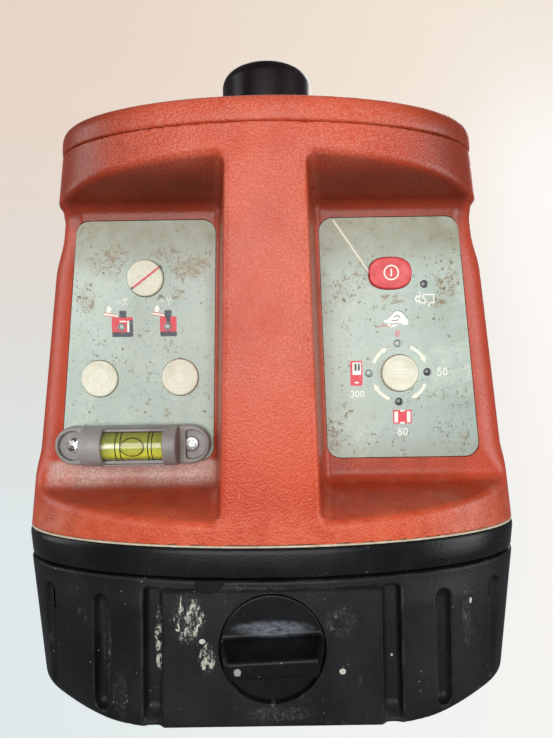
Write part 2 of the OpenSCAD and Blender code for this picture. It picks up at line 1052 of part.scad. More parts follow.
module cell_contacts() {
    y_end = cell_y0 + 2 * cell_len;
    color(steel) {
        for (s = [-1, 1]) {
            block([s * cell_x - 7, cell_y0 - 0.6, 12], [s * cell_x + 7, cell_y0, 28]);
            block([s * cell_x - 5, y_end - 0.1, 12], [s * cell_x + 5, y_end + 0.5, 39.8]);
            block([s * cell_x - 5, pin_y - 5, 39.1], [s * cell_x + 5, y_end, 39.8]);
        }
        block([-cell_x + 7, cell_y0 - 0.6, 5], [cell_x - 7, cell_y0, 9]);
        for (s = [-1, 1])
            block([s * (cell_x - 5) - 3, cell_y0 - 0.6, 5], [s * (cell_x - 5) + 3, cell_y0, 14]);
    }
}

// Cover over the cells, open at the front where the keeper's hook reaches in
module battery_lid() {
    y_end = cell_y0 + 2 * cell_len;
    color(foot_black)
        difference() {
            tapered(lid_z0, lid_z1, foot_half_w1 - 0.3, foot_half_w1 - 0.1,
                full_back, full_power, spigot_inset + 2.3);
            block([-38.2, -70, 30], [38.2, -49.8, 45]);
            block([-12, -50, 30], [12, -34, 45]);
            for (s = [-1, 1])
                block([s * cell_x - 5.2, y_end - 0.3, 30], [s * cell_x + 5.2, y_end + 0.7, 45]);
        }
}

// Sprung contact pins that reach down from the base frame to the battery's tabs
module supply_contacts() {
    color(brass)
        for (s = [-1, 1]) {
            post(s * cell_x, pin_y, 40, frame_z1 + 0.4, 1.6);
            post(s * cell_x, pin_y, frame_floor_z, frame_z1, 2.6);
        }
}

// ---------- lock ----------

module lock_knob() {
    bar_front = knob_face - bar_reach;
    color(foot_black) {
        ycyl(0, knob_z, knob_face, knob_back, knob_r);
        ycyl(0, knob_z, knob_back - 0.1, cam_y0, 4);
        hull() {
            block([-14, knob_face, knob_z - 3.1], [14, knob_face + 0.5, knob_z + 3.1]);
            block([-11.9, bar_front, knob_z - 2.5], [11.9, bar_front + 0.1, knob_z + 2.5]);
        }
    }
}

module lock_cam() {
    color(steel) {
        ycyl(0, knob_z, cam_y0, cam_y1, 6);
        block([-3, cam_y0, knob_z], [3, cam_y1, knob_z + 14]);
    }
}

// Hook on the base frame that the cam's nose turns over
module latch_keeper() {
    color(steel) {
        block([-5, -40.5, 26], [5, -38.5, 45.2]);
        block([-5, -41.7, 26], [5, -39, 29]);
        block([-9, -40.5, 43.2], [9, -30, 45.2]);
    }
}

// ---------- nodes ----------

front_casing();
rear_cover();
top_cap();
base_gasket();
base_frame();
carry_handle();
handle_grip();
handle_screws();
rear_pads();
head_collar();
casing_screws();
frame_screws();
left_keypad();
right_keypad();
lamp_lenses();
key_boards();
key_switches();
vial_holder();
vial_tube();
vial_bubble();
vial_screws();
chassis();
main_board();
level_motors();
supply_contacts();
latch_keeper();
cancel_key();
axis_key_x();
axis_key_y();
power_key();
speed_key();
gimbal_ring();
ring_pivots();
laser_carrier();
carrier_pivots();
laser_module();
laser_lens();
tilt_sensors();
spin_motor();
drive_belt();
rotor_bearings();
rotor_shaft();
rotor_pulley();
head_cap();
head_window();
head_prism();
motor_pulley();
level_screw_x();
level_screw_y();
level_nut_x();
level_nut_y();
battery_housing();
battery_cells();
cell_contacts();
tripod_insert();
battery_feet();
battery_lid();
lock_knob();
lock_cam();
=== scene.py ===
"""Looks of the rotating laser level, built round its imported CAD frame.

Shapes are worked out in millimetres in the row frame and written to Blender in metres.
Moulded shells are distance fields turned into meshes; rings and bands are lofts along the plan
outline.
"""
import math
from functools import reduce

import bpy
import numpy as np
from mathutils import Matrix, Vector
from mathutils.geometry import tessellate_polygon


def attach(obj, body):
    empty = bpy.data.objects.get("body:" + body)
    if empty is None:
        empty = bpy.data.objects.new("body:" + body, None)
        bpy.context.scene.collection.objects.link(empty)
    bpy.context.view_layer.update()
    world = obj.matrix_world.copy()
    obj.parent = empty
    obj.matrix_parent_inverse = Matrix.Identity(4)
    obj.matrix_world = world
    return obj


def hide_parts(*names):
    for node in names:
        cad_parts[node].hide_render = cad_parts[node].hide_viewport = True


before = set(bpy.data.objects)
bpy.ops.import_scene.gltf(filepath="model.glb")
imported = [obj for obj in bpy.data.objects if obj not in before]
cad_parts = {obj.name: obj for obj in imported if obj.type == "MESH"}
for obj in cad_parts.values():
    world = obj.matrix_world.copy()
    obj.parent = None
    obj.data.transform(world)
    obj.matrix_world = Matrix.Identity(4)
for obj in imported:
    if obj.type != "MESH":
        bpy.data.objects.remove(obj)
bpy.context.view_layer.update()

MM = 0.001

# ---------------------------------------------------------------- plan of the instrument
WIDE_Y = -33.0       # where the plan is widest
FRONT_B = 31.0       # bulge of the front half
BODY_BACK = 99.0     # depth of the casing behind the widest line
FULL_BACK = 159.0    # depth of base and cap behind the widest line
BODY_POWER = 4.0
FULL_POWER = 2.5
CASING_Z0, CASING_Z1 = 50.1, 164.8
OUTLINE_POINTS = 420


# ---------------------------------------------------------------- distance fields
def smoothstep(lo, hi, x):
    t = np.clip((x - lo) / (hi - lo), 0, 1)
    return t * t * (3 - 2 * t)


def rmax(a, b, r):
    """Both solids' common part, its new edges rounded to radius r."""
    return np.minimum(-r, np.maximum(a, b)) + np.hypot(
        np.maximum(a + r, 0), np.maximum(b + r, 0))


def rmin(a, b, r):
    """Both solids joined, with a fillet of radius r between them."""
    return np.maximum(r, np.minimum(a, b)) - np.hypot(
        np.maximum(r - a, 0), np.maximum(r - b, 0))


def cut(a, b, r):
    """Solid a without solid b, the new edges rounded to radius r."""
    return rmax(a, -b, r)


def common(*solids):
    """Common part of any number of solids, its edges sharp."""
    return reduce(np.maximum, solids)


def bore(solid, *hole):
    """Solid without the common part of hole, its edges sharp."""
    return np.maximum(solid, -common(*hole))


def plan_d(x, y, a, back, power):
    """Distance from the plan outline: half an ellipse in front, a fuller end behind."""
    v = y - WIDE_Y
    b = np.where(v < 0, FRONT_B, back)
    n = np.where(v < 0, 2.0, power)
    u = np.maximum(np.abs(x) / a, 1e-4)
    w = np.maximum(np.abs(v) / b, 1e-4)
    r = (u ** n + w ** n) ** (1 / n)
    g = np.hypot(u ** (n - 1) / a, w ** (n - 1) / b) * r ** (1 - n)
    return (r - 1) / g


def box_d(x, y, z, lo, hi, r=0.0):
    """Rounded box between two corners."""
    q = [np.abs(c - (l + h) / 2) - (h - l) / 2 + r
         for c, l, h in zip((x, y, z), lo, hi)]
    out = np.sqrt(sum(np.maximum(c, 0) ** 2 for c in q))
    return out + np.minimum(np.maximum(np.maximum(q[0], q[1]), q[2]), 0) - r


SLAB_POINTS = 400000    # grid points worked out at a time
RELAX_ROUNDS, RELAX_SHARE = 2, 0.6


def surface(f, lo, hi, step):
    """Mesh of the zero level of f: one vertex per cell it crosses, then settled onto it."""
    lo, hi = np.array(lo, float), np.array(hi, float)
    step = np.array(step if np.ndim(step) else (step,) * 3, float)
    lo, hi = lo - 1.5 * step, hi + 1.5 * step
    n = np.ceil((hi - lo) / step).astype(int) + 1
    grids = [lo[i] + step[i] * np.arange(n[i]) for i in range(3)]
    value = np.empty(n, np.float32)
    yy, zz = np.meshgrid(grids[1], grids[2], indexing="ij")
    slab = max(1, int(SLAB_POINTS / (n[1] * n[2])))
    for i in range(0, n[0], slab):
        xs = grids[0][i:i + slab]
        value[i:i + slab] = f(xs[:, None, None] + 0 * yy[None], yy[None] + 0 * xs[:, None, None],
                              zz[None] + 0 * xs[:, None, None])
    cells = n - 1
    ids, points, quads = [], [], []
    for axis in range(3):
        a1, a2 = (axis + 1) % 3, (axis + 2) % 3
        head = [slice(None)] * 3
        tail = [slice(None)] * 3
        head[axis], tail[axis] = slice(0, -1), slice(1, None)
        start, end = value[tuple(head)], value[tuple(tail)]
        crossed = (start < 0) != (end < 0)
        at = np.argwhere(crossed)
        s, e = start[crossed].astype(float), end[crossed].astype(float)
        p = at.astype(float)
        p[:, axis] += s / (s - e)
        corner = []
        for d1, d2 in ((-1, -1), (0, -1), (0, 0), (-1, 0)):
            c = at.copy()
            c[:, a1] += d1
            c[:, a2] += d2
            corner.append((c[:, 0] * cells[1] + c[:, 1]) * cells[2] + c[:, 2])
            ids.append(corner[-1])
            points.append(p)
        q = np.stack(corner, 1)
        quads.append(np.where((s < 0)[:, None], q, q[:, ::-1]))
    ids, points, quads = np.concatenate(ids), np.concatenate(points), np.concatenate(quads)
    used, back = np.unique(ids, return_inverse=True)
    count = np.bincount(back)
    v = np.stack([np.bincount(back, points[:, i]) / count for i in range(3)], 1)
    v = lo + v * step
    quads = np.searchsorted(used, quads)
    pairs = np.concatenate([quads[:, [i, (i + 1) % 4]] for i in range(4)])
    degree = np.bincount(pairs[:, 0], minlength=len(v)) + np.bincount(pairs[:, 1], minlength=len(v))
    for _ in range(RELAX_ROUNDS):
        mean = np.stack([np.bincount(pairs[:, 0], v[pairs[:, 1], i], len(v))
                         + np.bincount(pairs[:, 1], v[pairs[:, 0], i], len(v))
                         for i in range(3)], 1) / degree[:, None]
        v = settle(f, v * (1 - RELAX_SHARE) + mean * RELAX_SHARE, 1, step.max())
    return settle(f, v, 3, step.max()), quads


def gradient(f, v, h=0.04):
    """Slope of the field f at the points v, from differences h away."""
    g = np.stack([f(*(v + d).T) - f(*(v - d).T) for d in np.eye(3) * h], 1)
    return g / (2 * h)


def settle(f, v, times, reach):
    """Moves the points v onto the zero level of f, by at most half of reach each time."""
    for _ in range(times):
        g = gradient(f, v)
        move = f(*v.T) / np.maximum((g ** 2).sum(1), 0.05)
        v = v - np.clip(move, -reach / 2, reach / 2)[:, None] * g
    return v


# ---------------------------------------------------------------- lofts and flat shapes
def outline(a, back, power, count=360, inset=0.0):
    """Points of the plan outline, evenly spaced, moved in by inset."""
    t = np.linspace(0, 2 * math.pi, 6001)[:-1]
    c, s = np.cos(t), np.sin(t)
    n = np.where(s < 0, 2.0, power)
    x = a * np.sign(c) * np.abs(c) ** (2 / n)
    y = WIDE_Y + np.where(s < 0, FRONT_B, back) * np.sign(s) * np.abs(s) ** (2 / n)
    p = np.stack([x, y], 1)
    along = np.concatenate([[0], np.cumsum(np.hypot(*np.diff(np.vstack([p, p[:1]]), axis=0).T))])
    at = np.linspace(0, along[-1], count + 1)[:-1]
    p = np.stack([np.interp(at, along, np.append(p[:, i], p[0, i])) for i in range(2)], 1)
    d = np.roll(p, -1, 0) - np.roll(p, 1, 0)
    out = np.stack([d[:, 1], -d[:, 0]], 1) / np.hypot(*d.T)[:, None]
    return p - out * inset


def flat_ring(p, z):
    return np.column_stack([p, np.full(len(p), z)])


def circle_ring(p, r, z):
    """Circle round the rotation axis, its points at the same bearings as p's."""
    t = np.arctan2(p[:, 1], p[:, 0])
    return np.column_stack([r * np.cos(t), r * np.sin(t), np.full(len(p), z)])


def loft(rings, closed=False, poles=()):
    """Quads between successive rings; closed joins the last to the first, poles close the ends."""
    n = len(rings[0])
    v = np.vstack(rings)
    j = np.arange(n)
    k = np.roll(j, -1)
    faces = []
    turns = len(rings) if closed else len(rings) - 1
    for i in range(turns):
        a, b = i * n, ((i + 1) % len(rings)) * n
        faces += np.stack([a + j, a + k, b + k, b + j], 1).tolist()
    for end, point in zip((0, len(rings) - 1), poles):
        v = np.vstack([v, [point]])
        a = end * n
        fan = np.stack([a + j, a + k, np.full(n, len(v) - 1)], 1)
        faces += (fan[:, ::-1] if end == 0 else fan).tolist()
    return v, faces


def turned(profile, count=128):
    """Rings of a solid turned round the head's axis; profile is [(r, z)]."""
    t = np.linspace(0, 2 * math.pi, count + 1)[:-1]
    return [np.column_stack([r * np.cos(t), r * np.sin(t), np.full(count, z)]) for r, z in profile]


def arc(cx, cy, r, a0, a1, steps=8):
    """Points along an arc from bearing a0 to a1, in degrees."""
    t = np.radians(np.linspace(a0, a1, steps + 1))
    return [(cx + r * math.cos(i), cy + r * math.sin(i)) for i in t]


# ---------------------------------------------------------------- objects
def build(name, parts, body, replaces=()):
    """One object from parts (verts in mm, faces, material, smooth) on a moving body.

    replaces names the CAD nodes it stands for.
    """
    mesh = bpy.data.meshes.new(name)
    verts, faces, index, smooth, mats = [], [], [], [], []
    for v, f, material, soft in parts:
        f = f.tolist() if hasattr(f, "tolist") else f
        base = len(verts)
        verts += (np.asarray(v, float) * MM).tolist()
        faces += [[k + base for k in face] for face in f]
        if material not in mats:
            mats.append(material)
        index += [mats.index(material)] * len(f)
        smooth += [soft] * len(f)
    mesh.from_pydata(verts, [], faces)
    for material in mats:
        mesh.materials.append(material)
    mesh.polygons.foreach_set("material_index", index)
    mesh.polygons.foreach_set("use_smooth", smooth)
    mesh.update()
    obj = bpy.data.objects.new(name, mesh)
    bpy.context.scene.collection.objects.link(obj)
    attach(obj, body)
    if replaces:
        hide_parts(*replaces)
    return obj


def shade_by_field(obj, f, limit=0.75):
    """Corner normals from the field; where the field disagrees with the face, the face's own."""
    mesh = obj.data
    co = np.empty(len(mesh.vertices) * 3)
    mesh.vertices.foreach_get("co", co)
    g = gradient(f, co.reshape(-1, 3) / MM, 0.08)
    g /= np.maximum(np.linalg.norm(g, axis=1), 1e-6)[:, None]
    corner = np.empty(len(mesh.loops), int)
    mesh.loops.foreach_get("vertex_index", corner)
    normal = np.empty(len(mesh.polygons) * 3)
    mesh.polygons.foreach_get("normal", normal)
    sides = np.empty(len(mesh.polygons), int)
    mesh.polygons.foreach_get("loop_total", sides)
    own = np.repeat(normal.reshape(-1, 3), sides, axis=0)
    n = g[corner]
    n = np.where(((n * own).sum(1) < limit)[:, None], own, n)
    mesh.normals_split_custom_set(n.tolist())


def field_piece(name, f, lo, hi, step, body, material, replaces=(), cutters=()):
    """Piece from a distance field; cutters are (loops, y0, y1) plates taken out of it."""
    v, quads = surface(f, lo, hi, step)
    obj = build(name, [(v, quads, material, True)], body, replaces)
    for loops, y0, y1 in cutters:
        tool = build(name + "_tool", [(*plate(loops, y0, y1), material, False)], body)
        mod = obj.modifiers.new("cut", "BOOLEAN")
        mod.object = tool
        mod.solver = "EXACT"
        with bpy.context.temp_override(object=obj, active_object=obj):
            bpy.ops.object.modifier_apply(modifier=mod.name)
        bpy.data.objects.remove(tool)
    shade_by_field(obj, f)
    return obj


def signed_area(loop):
    """Area of a closed loop, above 0 if it runs anticlockwise."""
    p = np.array(loop)
    q = np.roll(p, -1, 0)
    return (p[:, 0] * q[:, 1] - q[:, 0] * p[:, 1]).sum() / 2


def plate(loops, y0, y1):
    """Flat plate facing the front from closed loops of (x, z); loops after the first are holes."""
    loops = [list(l) if (signed_area(l) > 0) == (i == 0) else list(l)[::-1]
             for i, l in enumerate(loops)]
    points = [p for l in loops for p in l]
    n = len(points)
    verts = [(x, y0, z) for x, z in points] + [(x, y1, z) for x, z in points]
    faces = []
    for tri in tessellate_polygon([[Vector((x, z, 0)) for x, z in l] for l in loops]):
        if signed_area([points[k] for k in tri]) < 0:
            tri = tri[::-1]
        faces.append(list(tri))
        faces.append([k + n for k in tri[::-1]])
    start = 0
    for l in loops:
        for k in range(len(l)):
            a, b = start + k, start + (k + 1) % len(l)
            faces.append([a, a + n, b + n, b])
        start += len(l)
    return verts, faces


def disc_loop(x, z, r, count=48, rz=None):
    """Circle round (x, z), or an oval rz high."""
    t = np.linspace(0, 2 * math.pi, count + 1)[:-1]
    return [(x + r * math.cos(a), z + (rz or r) * math.sin(a)) for a in t]


def rect_loop(x0, z0, x1, z1, r=0.0):
    """Rectangle, its corners rounded to radius r."""
    if r <= 0:
        return [(x0, z0), (x1, z0), (x1, z1), (x0, z1)]
    return (arc(x1 - r, z0 + r, r, -90, 0) + arc(x1 - r, z1 - r, r, 0, 90)
            + arc(x0 + r, z1 - r, r, 90, 180) + arc(x0 + r, z0 + r, r, 180, 270))


def stroke_loop(points, width):
    """Closed outline of a pen stroke of constant width along an open line of points."""
    p = np.array(points, float)
    d = np.gradient(p, axis=0)
    nrm = np.stack([-d[:, 1], d[:, 0]], 1) / np.hypot(*d.T)[:, None]
    left, right = p + nrm * width / 2, p - nrm * width / 2
    return np.vstack([right, left[::-1]]).tolist()


def rounded_poly(points, r, steps=8):
    """Closed polygon with its corners rounded."""
    p = np.array(points, float)
    out = []
    for i in range(len(p)):
        a, b, c = p[i - 1], p[i], p[(i + 1) % len(p)]
        u, w = (a - b) / np.linalg.norm(a - b), (c - b) / np.linalg.norm(c - b)
        half = math.acos(np.clip(u @ w, -1, 1)) / 2
        reach = r / math.tan(half)
        centre = b + (u + w) / np.linalg.norm(u + w) * r / math.sin(half)
        s, e = b + u * reach - centre, b + w * reach - centre
        t0, t1 = math.atan2(s[1], s[0]), math.atan2(e[1], e[0])
        turn = (t1 - t0 + math.pi) % (2 * math.pi) - math.pi
        out += [tuple(centre + r * np.array([math.cos(t0 + turn * k / steps),
                                             math.sin(t0 + turn * k / steps)]))
                for k in range(steps + 1)]
    return out


def stack(loops_at):
    """Closed skin through flat loops of (x, z), each at its own y, from the front backwards."""
    rings = [np.array([(x, y, z) for x, z in loop]) for loop, y in loops_at]
    first, last = rings[0].mean(0), rings[-1].mean(0)
    return loft(rings, poles=(first, last))


# ---------------------------------------------------------------- shader building
class Shader:
    """One procedural material. Textures are laid out in the row frame, in millimetres."""

    def __init__(self, name, roughness=0.5, metallic=0.0, **inputs):
        self.mat = bpy.data.materials.new(name)
        self.mat.use_nodes = True
        self.tree = self.mat.node_tree
        self.bsdf = self.tree.nodes["Principled BSDF"]
        self.set(roughness=roughness, metallic=metallic, **inputs)
        co = self.tree.nodes.new("ShaderNodeTexCoord").outputs["Object"]
        self.co = self.node("ShaderNodeVectorMath", operation="SCALE", Vector=co, Scale=1 / MM)
        split = self.tree.nodes.new("ShaderNodeSeparateXYZ")
        self.tree.links.new(self.co, split.inputs[0])
        self.x, self.y, self.z = split.outputs

    def put(self, socket, value):
        if isinstance(value, bpy.types.NodeSocket):
            self.tree.links.new(value, socket)
        elif isinstance(value, tuple) and len(value) == 3 and socket.type == "RGBA":
            socket.default_value = (*value, 1)
        else:
            socket.default_value = value

    def node(self, kind, out=0, **inputs):
        n = self.tree.nodes.new(kind)
        for k, v in inputs.items():
            if hasattr(n, k) and not isinstance(v, bpy.types.NodeSocket) and k.islower():
                setattr(n, k, v)
            else:
                self.put(n.inputs[int(k[1:])] if k[0] == "i" and k[1:].isdigit()
                         else n.inputs[k.replace("_", " ")], v)
        return n.outputs[out]

    def set(self, **inputs):
        for k, v in inputs.items():
            self.put(self.bsdf.inputs[k.replace("_", " ").title()
                                      .replace("Ior", "IOR").replace("Bsdf", "BSDF")], v)
        return self

    def noise(self, size, detail=3.0, rough=0.55, shift=0.0, stretch=(1, 1, 1), warp=0.0):
        """Noise with features about size millimetres across."""
        v = self.node("ShaderNodeMapping", Vector=self.co, Location=(shift, shift * 0.7, -shift),
                      Scale=tuple(s / size for s in stretch))
        return self.node("ShaderNodeTexNoise", Vector=v, Scale=1.0, Detail=detail,
                         Roughness=rough, Distortion=warp)

    def cells(self, size, shift):
        """Distance from the middle of the nearest cell, the cells about size millimetres across."""
        v = self.node("ShaderNodeMapping", Vector=self.co, Location=(shift,) * 3,
                      Scale=(1 / size,) * 3)
        return self.node("ShaderNodeTexVoronoi", Vector=v, Scale=1.0, Randomness=1.0)

    def math(self, op, a, b=0.0):
        return self.node("ShaderNodeMath", operation=op, i0=a, i1=b)

    def step(self, value, lo, hi):
        """0 below lo, 1 above hi, smooth between; lo may be above hi."""
        n = self.tree.nodes.new("ShaderNodeMapRange")
        n.interpolation_type = "SMOOTHSTEP"
        n.clamp = True
        self.put(n.inputs["Value"], value)
        rising = hi >= lo
        n.inputs["From Min"].default_value = lo if rising else hi
        n.inputs["From Max"].default_value = hi if rising else lo
        n.inputs["To Min"].default_value = 0.0 if rising else 1.0
        n.inputs["To Max"].default_value = 1.0 if rising else 0.0
        return n.outputs[0]

    def times(self, *values):
        out = values[0]
        for v in values[1:]:
            out = self.math("MULTIPLY", out, v)
        return out

    def mix(self, fac, a, b):
        n = self.tree.nodes.new("ShaderNodeMix")
        n.data_type = "RGBA"
        self.put(n.inputs["Factor"], fac)
        self.put(n.inputs[6], a)
        self.put(n.inputs[7], b)
        return n.outputs[2]

    def mixf(self, fac, a, b):
        n = self.tree.nodes.new("ShaderNodeMix")
        self.put(n.inputs["Factor"], fac)
        self.put(n.inputs[2], a)
        self.put(n.inputs[3], b)
        return n.outputs[0]

    def patch(self, lo, hi, *noise, **more):
        """Noise with soft-edged patches, 0 below lo and 1 above hi; the rest is as for noise."""
        return self.step(self.noise(*noise, **more), lo, hi)

    def ground(self, one, other, share):
        """The base colour under every coat."""
        self.base = self.mix(share, one, other)

    def coat(self, colour, *share):
        """Lays colour over the base colour, as strongly as the product of share."""
        self.base = self.mix(self.times(*share), self.base, colour)

    def oval(self, x, z, rx, rz):
        """Distance from (x, z) in the front view, 1 on the oval of half sizes rx and rz."""
        u = self.times(self.math("SUBTRACT", self.x, x), 1 / rx)
        w = self.times(self.math("SUBTRACT", self.z, z), 1 / rz)
        return self.math("SQRT", self.math("ADD", self.times(u, u), self.times(w, w)))

    def spots(self, *spots):
        """1 inside any of the ovals (x, z, rx, rz) on the front, fading to 0 at its edge."""
        return self.most([self.step(self.oval(*spot), 1.0, 0.45) for spot in spots])

    def most(self, values):
        out = values[0]
        for v in values[1:]:
            out = self.math("MAXIMUM", out, v)
        return out

    def worn(self):
        """How sharply convex the surface is, about 0.5 where it is flat."""
        return self.node("ShaderNodeNewGeometry", out=7)

    def side_facing(self):
        """How far the surface faces to either side, from 0 to 1."""
        split = self.node("ShaderNodeSeparateXYZ", i0=self.node("ShaderNodeNewGeometry", out=1))
        return self.math("ABSOLUTE", split)

    def done(self, relief, depth, **inputs):
        """Closes the material: its base colour, other inputs and relief of depth millimetres."""
        self.set(base_color=self.base, **inputs)
        self.put(self.bsdf.inputs["Normal"],
                 self.node("ShaderNodeBump", Strength=1.0, Distance=depth * MM, Height=relief))
        return self.mat


def paint_red(name):
    """Grained orange-red moulding: a painted sheen where it stands out, painted shade in the
    recesses, scuffs, dust and dirt.
    """
    s = Shader(name, roughness=0.38, specular_ior_level=0.36)
    fine = s.noise(1.05, 3, 0.6, 9, warp=1.3)
    pebble = s.step(s.cells(0.70, 0.3), 0.75, 0.10)
    wide = s.math("ABSOLUTE", s.x)
    deep = s.times(s.step(s.y, -62.5, -50), s.step(s.y, -12, -34), s.step(s.z, 173.4, 171))
    s.ground((0.50, 0.054, 0.017), (0.58, 0.073, 0.023), s.patch(0.35, 0.7, 26, 3, 0.5, 3))
    # painted shade: the hollows of the pebble grain a little darker
    s.coat((0.30, 0.022, 0.008), s.step(pebble, 0.5, 0.0), 0.13)
    # painted sheen, a pale highlight on the surfaces that stand furthest forward at mid height,
    # then scuffs and nicks anywhere
    s.coat((0.80, 0.40, 0.32), s.step(s.y, -53, -62), s.patch(0.15, 0.65, 17, 3, 0.5, 21),
           s.step(s.z, 62, 105), s.mixf(pebble, 0.25, 1.0), 0.28)
    s.coat((0.76, 0.38, 0.28), s.patch(0.64, 0.73, 3.0, 5, 0.75, 40, (1, 1, 0.35), 1.2),
           s.patch(0.47, 0.60, 34, 2, 0.5, 5), 0.35)
    s.coat((0.16, 0.035, 0.018), s.patch(0.68, 0.74, 1.7, 4, 0.7, 130, warp=0.6),
           s.patch(0.52, 0.62, 21, 2, 0.5, 45), 0.7)
    # painted shade over the recesses, patchy and with some dirt; stronger painted shade on the
    # walls beside the pillar and under the roofs; lighter again at the floor's outer ends
    s.coat((0.17, 0.022, 0.008), deep, s.mixf(s.patch(0.30, 0.70, 11, 5, 0.7, 60), 0.38, 0.66))
    # painted shade on the side-facing walls beside the pillar
    s.coat((0.24, 0.022, 0.006), s.step(s.side_facing(), 0.40, 0.80), s.step(wide, 24, 20),
           s.step(s.y, -63.4, -61.8), s.step(s.y, -41.5, -44), 0.62)
    # painted shade under the roofs
    s.coat((0.13, 0.018, 0.006), deep, s.step(s.z, 141, 146), 0.55)
    s.coat((0.52, 0.062, 0.026), s.step(s.y, -45, -41), s.step(wide, 60, 63), 0.45)
    # caked dust on the ledge below the vial, lighter dust on the sills and in the corners
    ledge = s.times(deep, s.step(s.z, 70.5, 68.5), s.step(s.z, 60.5, 63.5), s.step(s.y, -36, -38.5),
                    s.step(wide, 72, 68))
    left = s.times(s.step(s.y, -45.5, -42), s.step(s.x, -15, -19))
    cake = s.mix(s.patch(0.25, 0.75, 0.8, 4, 0.75, 77), (0.34, 0.17, 0.13), (0.66, 0.50, 0.44))
    s.coat(cake, ledge, left, s.mixf(s.patch(0.3, 0.7, 13, 3, 0.6, 99), 0.45, 0.85))
    sill = s.times(s.step(s.y, -60, -54), s.step(s.z, 64, 62))
    s.coat((0.42, 0.22, 0.17), sill, s.patch(0.50, 0.75, 9, 3, 0.6, 120), 0.20)
    s.coat((0.50, 0.14, 0.09), deep, s.step(wide, 21, 16.5), s.patch(0.35, 0.6, 3, 4, 0.7, 33),
           0.18)
    # edges rubbed pale, and the lower lip lighter: part rubbing, part a painted highlight
    s.coat((0.80, 0.24, 0.13), s.step(s.worn(), 0.52, 0.60), s.patch(0.40, 0.60, 6, 4, 0.7, 90),
           0.40)
    # painted highlight with some rubbing along the lower lip
    lip = s.times(s.step(s.z, 62, 55), s.step(s.y, -30, -45))
    s.coat((0.92, 0.28, 0.15), lip, s.patch(0.25, 0.7, 5, 4, 0.7, 31), 0.20)
    grain = s.math("ADD", s.times(pebble, 0.55), s.times(fine, 0.5))
    return s.done(s.times(grain, s.mixf(deep, 1.0, 0.35)), 0.15,
                  roughness=s.mixf(s.step(fine, 0.35, 0.65), 0.27, 0.40))


def plastic_black(name, shade, rough, depth, grain=0.5, hue=(0.94, 1, 1.12), specks=0.5,
                  splat=0.0, band=0.0):
    """Dark moulding with fine grain, grey rubbing and specks of dust.

    splat adds the foot's paint splashes, band the rubbed middle of the knob's bar.
    """
    s = Shader(name, roughness=rough, specular_ior_level=0.17)
    s.ground(tuple(shade * h for h in hue), tuple(shade * 2.1 * h for h in hue),
             s.patch(0.35, 0.7, 18, 4, 0.6, 2))
    rub = s.times(s.patch(0.60, 0.74, 4.5, 5, 0.75, 11, (1, 1, 0.5), 0.8),
                  s.patch(0.42, 0.62, 40, 2, 0.5, 15))
    s.coat((0.085, 0.088, 0.095), rub, 0.55)
    s.coat((0.11, 0.11, 0.115), s.step(s.worn(), 0.53, 0.60), s.patch(0.42, 0.62, 6, 4, 0.7, 31),
           0.55)
    speck = s.times(s.step(s.cells(2.6, 0.7), 0.12, 0.04), s.patch(0.54, 0.62, 9, 2, 0.5, 50))
    s.coat((0.34, 0.34, 0.33), speck, specks)
    if splat:
        front = s.step(s.y, -44, -52)
        strong = s.spots((-31.8, 21.5, 1.8, 13), (-23.0, 29.5, 6.0, 9.5), (-18.0, 18.5, 3.0, 5.5))
        weak = s.spots((-47.0, 20, 2.5, 14), (-42.5, 8, 3, 8), (19, 28, 6, 6), (2, 3.5, 12, 2.5),
                       (-8, 37.8, 16, 1.6), (56, 25, 2, 12))
        streak = s.noise(1.5, 6, 0.8, 66, (1, 1, 0.5), 0.8)
        paint = s.step(s.math("ADD", streak, s.times(strong, 0.13)), 0.625, 0.705)
        s.coat((0.52, 0.51, 0.44), paint, front, s.step(strong, 0.0, 0.35), splat)
        trace = s.step(s.math("ADD", streak, s.times(weak, 0.05)), 0.60, 0.74)
        s.coat((0.30, 0.30, 0.29), trace, front, s.step(weak, 0.0, 0.5), 0.40)
        s.coat((0.26, 0.29, 0.32), front, s.step(s.math("ADD", strong, weak), 0.0, 0.9),
               s.patch(0.40, 0.65, 1.0, 4, 0.7, 5), 0.07)
        blob = s.spots((19.2, 14.6, 1.0, 0.9), (-19.3, 23.2, 1.0, 0.8), (33.5, 17, 0.4, 0.5),
                       (57.5, 30, 0.5, 1.0))
        wobble = s.times(s.patch(0.25, 0.5, 0.8, 3, 0.7, 8), s.step(blob, 0.05, 0.3))
        s.coat((0.52, 0.51, 0.45), front, wobble)
    if band:
        s.coat((0.26, 0.29, 0.34), s.spots((0, 26.4, 13.0, 2.6)),
               s.patch(0.25, 0.70, 1.6, 5, 0.75, 61, (0.6, 1, 1.5)), s.step(s.y, -63.5, -62.5),
               band)
    return s.done(s.math("ADD", s.cells(grain, 0.2), s.noise(grain * 2.5, 3)), depth,
                  roughness=s.mixf(rub, rough, rough + 0.15))


def simple(name, one, other, rough=0.5, metallic=0.0, size=6.0, depth=0.01, **inputs):
    """Two-tone surface with fine grain, for pieces that show little."""
    s = Shader(name, roughness=rough, metallic=metallic, **inputs)
    s.ground(one, other, s.patch(0.35, 0.68, size, 4, 0.6, 3))
    shine = s.patch(0.3, 0.7, size / 3, 4, 0.6, 8)
    return s.done(s.noise(0.4, 3, 0.6, 14), depth,
                  roughness=s.mixf(shine, rough * 0.8, rough * 1.25))


def brushed(name, one, other, rough, stretch=(1, 1, 12)):
    """Metal with drawn or turned marks."""
    s = Shader(name, roughness=rough, metallic=1.0)
    mark = s.noise(1.2, 4, 0.6, 5, stretch)
    s.ground(one, other, mark)
    return s.done(mark, 0.008, roughness=s.mixf(s.noise(4, 3, 0.6, 12), rough * 0.75, rough * 1.4))


